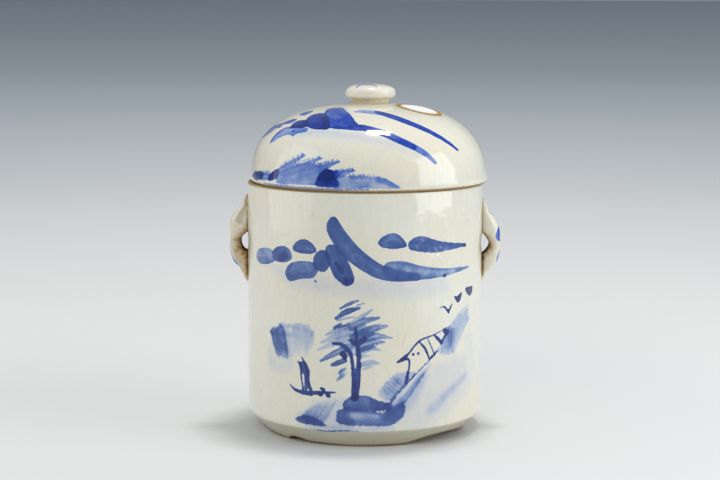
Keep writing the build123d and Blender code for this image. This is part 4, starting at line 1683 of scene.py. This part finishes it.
# ---- the lid ------------------------------------------------------------------------------------
class DomeLine:
    """The outer profile of the lid, known by millimetres up the dome from its rim."""

    def __init__(self, size: LidSize = LID) -> None:
        """Work the profile out: r = R cos(t)^(2/p), z = base + rise sin(t)^(2/q), its edge tucked in.

        Args:
            size: the lid's sizes.
        """
        t = np.concatenate([np.linspace(0.0, 0.2, 3000), np.linspace(0.2, math.pi / 2, 6000)[1:]])
        r = size.radius * np.cos(t) ** (2 / size.side_power)
        r[-1] = 0.0
        z = size.base_z + size.rise * np.sin(t) ** (2 / size.top_power)
        kept = z >= size.seat_z
        r, z = r[kept], z[kept]
        edge_r = np.interp(size.edge_z, z, r)
        tucked = edge_r - size.tuck * ((size.edge_z - z) / (size.edge_z - size.seat_z)) ** 2
        self.r = np.where(z < size.edge_z, np.minimum(r, tucked), r)
        self.z = z
        self.up = np.concatenate([[0], np.cumsum(np.hypot(np.diff(self.r), np.diff(z)))])
        self.length = float(self.up[-1])

    def at(self, up: Array) -> tuple[Array, Array]:
        """Radius and height at a distance up the dome."""
        return np.interp(up, self.up, self.r), np.interp(up, self.up, self.z)

    def up_at(self, radius: Array) -> Array:
        """Distance up the dome at a radius, above the widest part."""
        widest = int(np.argmax(self.r))
        return np.interp(-radius, -self.r[widest:], self.up[widest:])

    def height(self, radius: Array) -> Array:
        """Height of the dome over a radius."""
        return np.interp(self.up_at(radius), self.up, self.z)


DOME = DomeLine()


def on_lid(flat: Array) -> Array:
    """From degrees round the lid and millimetres up the dome to a place.

    Args:
        flat: rows of across and up.

    Returns:
        Rows of x, y and z in millimetres.
    """
    r, z = DOME.at(flat[:, 1])
    angle = np.radians(flat[:, 0])
    return np.stack([LID.offset + r * np.sin(angle), -r * np.cos(angle), z], -1)


def on_knob_top(flat: Array) -> Array:
    """From across and back, in millimetres from the knob's middle, to a place on its crown.

    Args:
        flat: rows of across and back.

    Returns:
        Rows of x, y and z in millimetres.
    """
    reach = np.hypot(flat[:, 0], flat[:, 1])
    z = np.interp(reach, [0, 5, 8.4, 10.8, 12.2, 13], [176.6, 176.4, 175.9, 175.1, 174, 172.1])
    return np.stack([KNOB.axis_x + flat[:, 0], flat[:, 1], z], -1)


@dataclass
class Lid:
    """The lid: dome, locating collar, knob and paper label."""

    size: LidSize = LID
    paper: LabelSize = LabelSize()
    half_front: float = 93.0  # degrees either side of the front that are finely divided
    fine_up: float = 62.0  # millimetres up the dome that are finely divided

    def build(self, glaze: Material, clay: Material, paper: Material) -> None:
        """Make and dress the four pieces.

        Args:
            glaze: finish of the dome and knob.
            clay: finish of the collar.
            paper: finish of the label.
        """
        settle(self.dome(), "lid", "lid_dome", glaze)
        settle(self.collar(), "lid", "lid_flange", clay)
        settle(self.knob(), "lid", "lid_knob", glaze)
        settle(self.label(), "lid", "paper_label", paper)

    def dome(self) -> Piece:
        """The shell: the outer profile turned, a bare seat, a short bore and a hollow like the outside.

        Returns:
            The painted dome.
        """
        angle = front_angles(self.half_front, self.size.radius)
        up = np.concatenate([
            np.arange(DOME.length - 0.4, self.fine_up, -1.4),
            np.arange(self.fine_up, 1.2, -0.55), [1.0, 0.5, 0.2],
        ])
        r, z = DOME.at(up)
        r = r - 0.12 * smoothstep(self.size.glaze_foot_z + 0.1, self.size.glaze_foot_z - 0.2, z)
        bore, low = self.size.bore, self.size.seat_z
        seat = np.array([
            (59.35, low + SLIT), (59.0, low), (59.0 - SLIT, low), (bore + 0.4, low), (bore + 0.1, low + 0.1),
            (bore, low + 0.4), (bore, low + 2.9),
        ])
        t = np.linspace(0.02, math.pi / 2 - 0.01, 26)
        inner_r = bore * np.cos(t) ** (2 / self.size.side_power)
        inner_rise = self.size.inner_top_z - self.size.edge_z
        inner_z = self.size.edge_z + inner_rise * np.sin(t) ** (2 / self.size.top_power)
        radius = np.concatenate([r, seat[:, 0], inner_r])
        height = np.concatenate([z, seat[:, 1], inner_z])
        lumps = np.zeros((len(radius), len(angle)))
        fade = smoothstep(128, 136, z) * smoothstep(3, 14, r)
        lumps[: len(r)] = fade[:, None] * 0.14 * ripple(angle[None], z[:, None] / 16, 31, 9, 4)
        grid = turn(radius[:, None] + lumps, height[:, None] + lumps, angle, self.size.offset)
        obj = closed_surface("lid_dome_glazed", grid, False, True)
        points = grid.reshape(-1, 3)
        flat = np.stack([np.tile(np.degrees(angle), len(radius)), np.full(len(points), UNPAINTED)], -1)
        flat[:, 0] = (flat[:, 0] + 180) % 360 - 180
        flat[: len(r) * len(angle), 1] = np.repeat(up, len(angle))
        Canvas(points, flat, on_lid, (self.size.offset, 0, 140)).paint(LID_MARKS).store(obj)
        edge = self.size.glaze_foot_z
        bare = smoothstep(edge + 0.1, edge - 0.3, np.repeat(height, len(angle)))
        put_layer(obj, Layer.BARE, np.clip(bare, 0, 1))
        put_layer(obj, Layer.STAIN, 0.25 * smoothstep(edge + 0.9, edge, np.repeat(height, len(angle))))
        return obj

    def collar(self) -> Piece:
        """The locating collar: a ring with a shelf above, its skirt marked by a fine turned spiral.

        Returns:
            The collar, bare clay.
        """
        s = self.size
        angle = np.radians(np.arange(0, 360, 1.5))
        skirt_z = np.arange(s.flange_foot_z + 0.6, s.seat_z - 0.1, 0.28)
        outer, inner, foot = s.flange_radius, s.flange_bore, s.flange_foot_z
        profile = np.vstack([
            [(inner + 0.5, foot), (outer - 0.6, foot), (outer - 0.15, foot + 0.18)],
            np.stack([outer - 0.05 + 0.05 * np.sin(skirt_z * 7), skirt_z], -1),
            [(outer, s.seat_z), (outer + SLIT, s.seat_z), (s.bore - SLIT, s.seat_z),
             (s.bore, s.seat_z + SLIT), (s.bore, s.edge_z - SLIT), (s.bore - SLIT, s.edge_z),
             (inner + 0.5, s.edge_z), (inner + 0.1, s.edge_z - 0.15), (inner, s.edge_z - 0.6)],
            np.stack([inner + 0.04 * np.sin(skirt_z[::-1] * 5), skirt_z[::-1]], -1),
            [(inner + 0.15, foot + 0.15)],
        ])
        obj = closed_surface("collar_bare", turn(*profile.T, angle, s.offset), True, False)
        JarBody.plain_layers(obj, bare=1.0)
        return obj

    def knob(self) -> Piece:
        """The button knob: a waisted profile turned, uneven by about a tenth of a millimetre.

        Returns:
            The painted knob.
        """
        line = smooth(np.array([
            (0.4, 164.8), (9, 164.9), (12.9, 165.5), (12.6, 166.5), (10.6, 167.1), (9.5, 168.0),
            (9.8, 168.9), (11.0, 169.5), (12.5, 170.5), (13.0, 172.1), (12.8, 173.2), (12.2, 174.1),
            (10.9, 175.05), (8.4, 175.9), (5, 176.4), (2.4, 176.56), (0.3, 176.6),
        ]), per_span=6)
        angle = np.radians(np.arange(-180, 180, 2.0))
        wave = ripple(angle[None], line[:, 1:] / 3, 17, 7, 3)
        firm = smoothstep(0.3, 6, line[:, 0])[:, None] * smoothstep(166.5, 169, line[:, 1])[:, None]
        radius = np.clip(line[:, :1], 0.2, KNOB.radius) - 0.1 * firm * (1 + wave)
        height = line[:, 1:] + 0.06 * firm * (wave - 1)
        grid = turn(radius, height, angle, KNOB.axis_x)
        obj = closed_surface("knob_glazed", grid, False, True)
        points = grid.reshape(-1, 3)
        flat = points[:, :2] - (KNOB.axis_x, 0)
        Canvas(points, flat, on_knob_top, (KNOB.axis_x, 0, 166)).paint(KNOB_MARKS).store(obj)
        put_layer(obj, Layer.BARE, np.zeros(len(points)))
        put_layer(obj, Layer.STAIN, 0.26 * smoothstep(170.4, 168.4, points[:, 2]))
        return obj

    def label(self) -> Piece:
        """The paper label: a thin disc laid on the dome, its edge a little lifted and wrinkled.

        Its height is the dome's over the same place, plus 0.2 mm and a low ripple that grows outwards.

        Returns:
            The label, with its inset and its angle stored for the print.
        """
        full = self.paper.radius
        around = np.radians(np.arange(0, 360, 2.0))
        face_r = np.concatenate([[0.2], np.linspace(0.6, full - 0.1, 26), [full]])
        rho = np.concatenate([face_r, face_r[::-1]])
        on_face = np.arange(len(rho)) < len(face_r)
        reach = rho[:, None] * (1 - 0.008 + 0.006 * ripple(around, 0 * around, 3, 7, 9))
        x = self.paper.centre[0] + reach * np.cos(around)
        y = self.paper.centre[1] + reach * np.sin(around)
        base = DOME.height(np.hypot(x - self.size.offset, y))
        curl = 1 + ripple(around[None], rho[:, None] / 4, 8, 7, 5)
        lift = self.paper.lift * curl * (rho[:, None] / full) ** 3
        z = base + np.where(on_face[:, None], self.paper.over + lift, -self.paper.under)
        z[len(face_r) - 1] -= 0.05
        obj = closed_surface("label_printed", np.stack([x, y, z], -1), False, True)
        inset = np.concatenate([np.repeat(full - rho, len(around)), [full, full]])
        angle = np.tile(around, len(rho))
        put_layer(obj, Layer.EDGE, inset)
        put_layer(obj, Layer.GRAIN, np.stack([angle, angle * 0, angle * 0], -1))
        return obj


def settle(obj: Piece, body: str, node: str, material: Material) -> None:
    """Give a piece its material slot and body, hide the CAD part that it stands for, and report it.

    Args:
        obj: the piece.
        body: the CAD body that it rides on.
        node: the CAD node that it stands for.
        material: its finish.
    """
    obj.data.materials.append(material)
    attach(obj, body)
    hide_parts(node)
    log.info("%s stands for %s on %s, %d faces", obj.name, node, body, len(obj.data.polygons))


# ---- the studio ---------------------------------------------------------------------------------
@dataclass(frozen=True)
class Panel:
    """One soft light: a rectangle, so many degrees round from the front and so far away in metres."""

    name: str
    azimuth: float
    distance: float
    height: float
    width: float
    tall: float
    power: float
    spread: float = 180.0
    mirrored: bool = True
    facing: Facing = Facing.JAR
    tint: Colour = (1.0, 1.0, 1.0)

    def hang(self) -> None:
        """Hang the light and turn its face to the jar's middle, straight down or level."""
        angle = math.radians(self.azimuth)
        data = bpy.data.lights.new(self.name, "AREA")
        data.shape = "RECTANGLE"
        data.size = self.width
        data.size_y = self.tall
        data.energy = self.power
        data.color = self.tint
        data.spread = math.radians(self.spread)
        lamp = bpy.data.objects.new(self.name, data)
        place = np.array([self.distance * math.sin(angle), -self.distance * math.cos(angle), self.height])
        aims = {Facing.JAR: (0, 0, 0.09), Facing.DOWN: (*place[:2], -9.0), Facing.LEVEL: (0, 0, place[2])}
        towards = np.array(aims[self.facing]) - place
        flat = math.hypot(towards[0], towards[1])
        lamp.location = place
        lamp.visible_glossy = self.mirrored
        pitch = math.pi / 2 + math.atan2(towards[2], flat)
        lamp.rotation_euler = (pitch, 0, math.atan2(-towards[0], towards[1]))
        bpy.context.collection.objects.link(lamp)
        log.info("light %s", self.name)


TABLE_START = 0.6  # metres added to the distance, so that the ramp starts part of the way up
TABLE_BEND = 1.2  # metres at which the ramp has gone half of the way
# Metres from the jar, and the paper's colour there: painted light and shade that stand in for the light
# falling off.
TABLE_PAINTED_FALLOFF = (
    (0.19, (0.73, 0.73, 0.72)), (0.38, (0.77, 0.77, 0.75)), (0.65, (0.80, 0.79, 0.78)),
    (1.04, (0.82, 0.82, 0.82)), (1.67, (0.77, 0.79, 0.80)), (2.9, (0.71, 0.76, 0.81)),
    (4.0, (0.77, 0.82, 0.87)), (6.0, (0.84, 0.90, 0.96)),
)


@dataclass
class Studio:
    """Table, background, lights and camera."""

    floor_radius: float = 70.0
    camera_place: tuple[float, float, float] = (-0.00284, -0.9728, 0.2216)
    camera_pitch: float = 7.342
    camera_roll: float = -0.12
    lens: float = 95.4

    def build(self) -> None:
        """Set up everything round the jar."""
        self.table()
        self.air()
        cool, warm = (0.96, 0.98, 1.0), (1.0, 0.975, 0.93)
        for panel in (
            Panel("key", 125.0, 0.150, 1.4, 0.28, 0.15, 7.0, facing=Facing.DOWN),
            Panel("front_fill", -22, 1.95, 1.4, 1.6, 1.2, 10.0, mirrored=False),
            Panel("back_fill", 180, 1.5, 1.9, 4.6, 3.4, 24.0, mirrored=False, facing=Facing.DOWN),
            Panel("right_window", 69, 0.80, 0.377, 0.60, 0.70, 3.0, 150, facing=Facing.LEVEL, tint=cool),
            Panel("left_window", -77, 0.85, 0.45, 0.83, 0.90, 1.9, 150, facing=Facing.LEVEL, tint=warm),
        ):
            panel.hang()
        self.camera()

    def table(self) -> None:
        """A wide pale disc that grows darker with distance from the jar, as painted light falling off."""
        around = np.radians(np.arange(0, 360, 3.0))
        ring = np.concatenate([np.linspace(0.02, 1.4, 24), np.geomspace(1.6, self.floor_radius, 20)])
        x, y = ring[:, None] * np.sin(around), ring[:, None] * np.cos(around)
        top = np.stack([x, y, np.zeros_like(x)], -1)
        bottom = np.stack([x, y, np.full_like(x, -0.01)], -1)[::-1]
        floor = closed_surface("table", np.concatenate([top, bottom]) / MM, False, True)
        floor.data.materials.append(self.table_material())

    @staticmethod
    def table_material() -> Material:
        """Pale matt paper, its colour a ramp of the distance from the jar that paints the fall-off of the
        light.

        Returns:
            The material.
        """
        material = bpy.data.materials.new("table_paper")
        material.use_nodes = True
        nodes = material.node_tree.nodes
        links = material.node_tree.links
        nodes.clear()
        place = nodes.new("ShaderNodeTexCoord")
        place.label = "place on the table"
        away = nodes.new("ShaderNodeVectorMath")
        away.label = "metres from the jar"
        away.operation = "LENGTH"
        links.new(place.outputs["Object"], away.inputs[0])
        reach = nodes.new("ShaderNodeMath")
        reach.label = "the same and a start"
        reach.operation = "ADD"
        reach.inputs[1].default_value = TABLE_START
        links.new(away.outputs["Value"], reach.inputs[0])
        spread = nodes.new("ShaderNodeMath")
        spread.label = "and a little more"
        spread.operation = "ADD"
        spread.inputs[1].default_value = TABLE_BEND
        links.new(reach.outputs["Value"], spread.inputs[0])
        bend = nodes.new("ShaderNodeMath")
        bend.label = "small at the jar, 1 far away"
        bend.operation = "DIVIDE"
        bend.use_clamp = True
        links.new(reach.outputs["Value"], bend.inputs[0])
        links.new(spread.outputs["Value"], bend.inputs[1])
        # the ramp is painted light and shade: its colours stand in for how the light falls off with distance
        paper = nodes.new("ShaderNodeValToRGB")
        paper.label = "pale near, grey blue far"
        stops = paper.color_ramp.elements
        stops[0].position = 0.0
        stops[0].color = (0.69, 0.70, 0.69, 1)
        stops[1].position = 1.0
        stops[1].color = (0.50, 0.59, 0.68, 1)
        for distance, tone in TABLE_PAINTED_FALLOFF:
            started = distance + TABLE_START
            stop = stops.new(started / (started + TABLE_BEND))
            stop.color = rgba(tone)
        links.new(bend.outputs["Value"], paper.inputs["Fac"])
        shader = nodes.new("ShaderNodeBsdfPrincipled")
        shader.label = "matt paper"
        shader.inputs["Roughness"].default_value = 0.9
        shader.inputs["Specular IOR Level"].default_value = 0.1
        links.new(paper.outputs["Color"], shader.inputs["Base Color"])
        output = nodes.new("ShaderNodeOutputMaterial")
        output.label = "surface"
        links.new(shader.outputs["BSDF"], output.inputs["Surface"])
        lay_out(nodes, {"distance": [place, away, reach, spread, bend], "paper": [paper, shader, output]})
        return material

    @staticmethod
    def air() -> None:
        """An even pale grey blue all round, dim."""
        world = bpy.data.worlds.new("studio_air")
        bpy.context.scene.world = world
        world.use_nodes = True
        background = world.node_tree.nodes["Background"]
        background.inputs["Color"].default_value = (0.80, 0.88, 0.95, 1)
        background.inputs["Strength"].default_value = 0.3

    def camera(self) -> None:
        """The camera, level apart from its pitch and a slight roll."""
        data = bpy.data.cameras.new("camera")
        data.lens = self.lens
        data.sensor_width = 36.0
        data.clip_start = 0.05
        data.clip_end = 200.0
        camera = bpy.data.objects.new("camera", data)
        camera.location = self.camera_place
        camera.rotation_mode = "XYZ"
        camera.rotation_euler = (math.radians(90 - self.camera_pitch), math.radians(self.camera_roll), 0)
        bpy.context.collection.objects.link(camera)
        bpy.context.scene.camera = camera


def main() -> None:
    """Build the finishes, the jar, its lugs, the lid and the studio, in that order."""
    logging.basicConfig(level=logging.INFO, format="%(name)s: %(message)s")
    bpy.context.scene.view_settings.view_transform = "Standard"
    jar_glaze = glaze_material("jar_glaze", GlazeFinish())
    # the foot's body colours are darker than the wall's: painted shade of the chamfer that faces the table
    foot_glaze = glaze_material("foot_glaze", GlazeFinish((0.60, 0.59, 0.47), (0.55, 0.49, 0.35)))
    bright = GlazeFinish(
        mid_cobalt=(0.085, 0.17, 0.52), deep_cobalt=(0.010, 0.055, 0.40), dark_cobalt=(0.003, 0.018, 0.17)
    )
    lug_glaze = glaze_material("lug_glaze", bright)
    lid_glaze = glaze_material("lid_glaze", bright)
    bare_clay = glaze_material("bare_clay", GlazeFinish())
    paper = paper_material("label_paper", PaperFinish())
    JarBody().build(jar_glaze, foot_glaze)
    left = Lug(
        "left_lug_glazed", "left_lug", -1, LEFT_OUTER, LEFT_HOLE, LEFT_LUG_MARKS,
        ridge=0.5, stain=1.0, tan=0.36,
    )
    right = Lug(
        "right_lug_glazed", "right_lug", 1, RIGHT_OUTER, RIGHT_HOLE, RIGHT_LUG_MARKS, stain=1.25, tan=0.1
    )
    left.build(lug_glaze)
    right.build(lug_glaze)
    Lid().build(lid_glaze, bare_clay, paper)
    Studio().build()


if __name__ == "__main__":
    main()
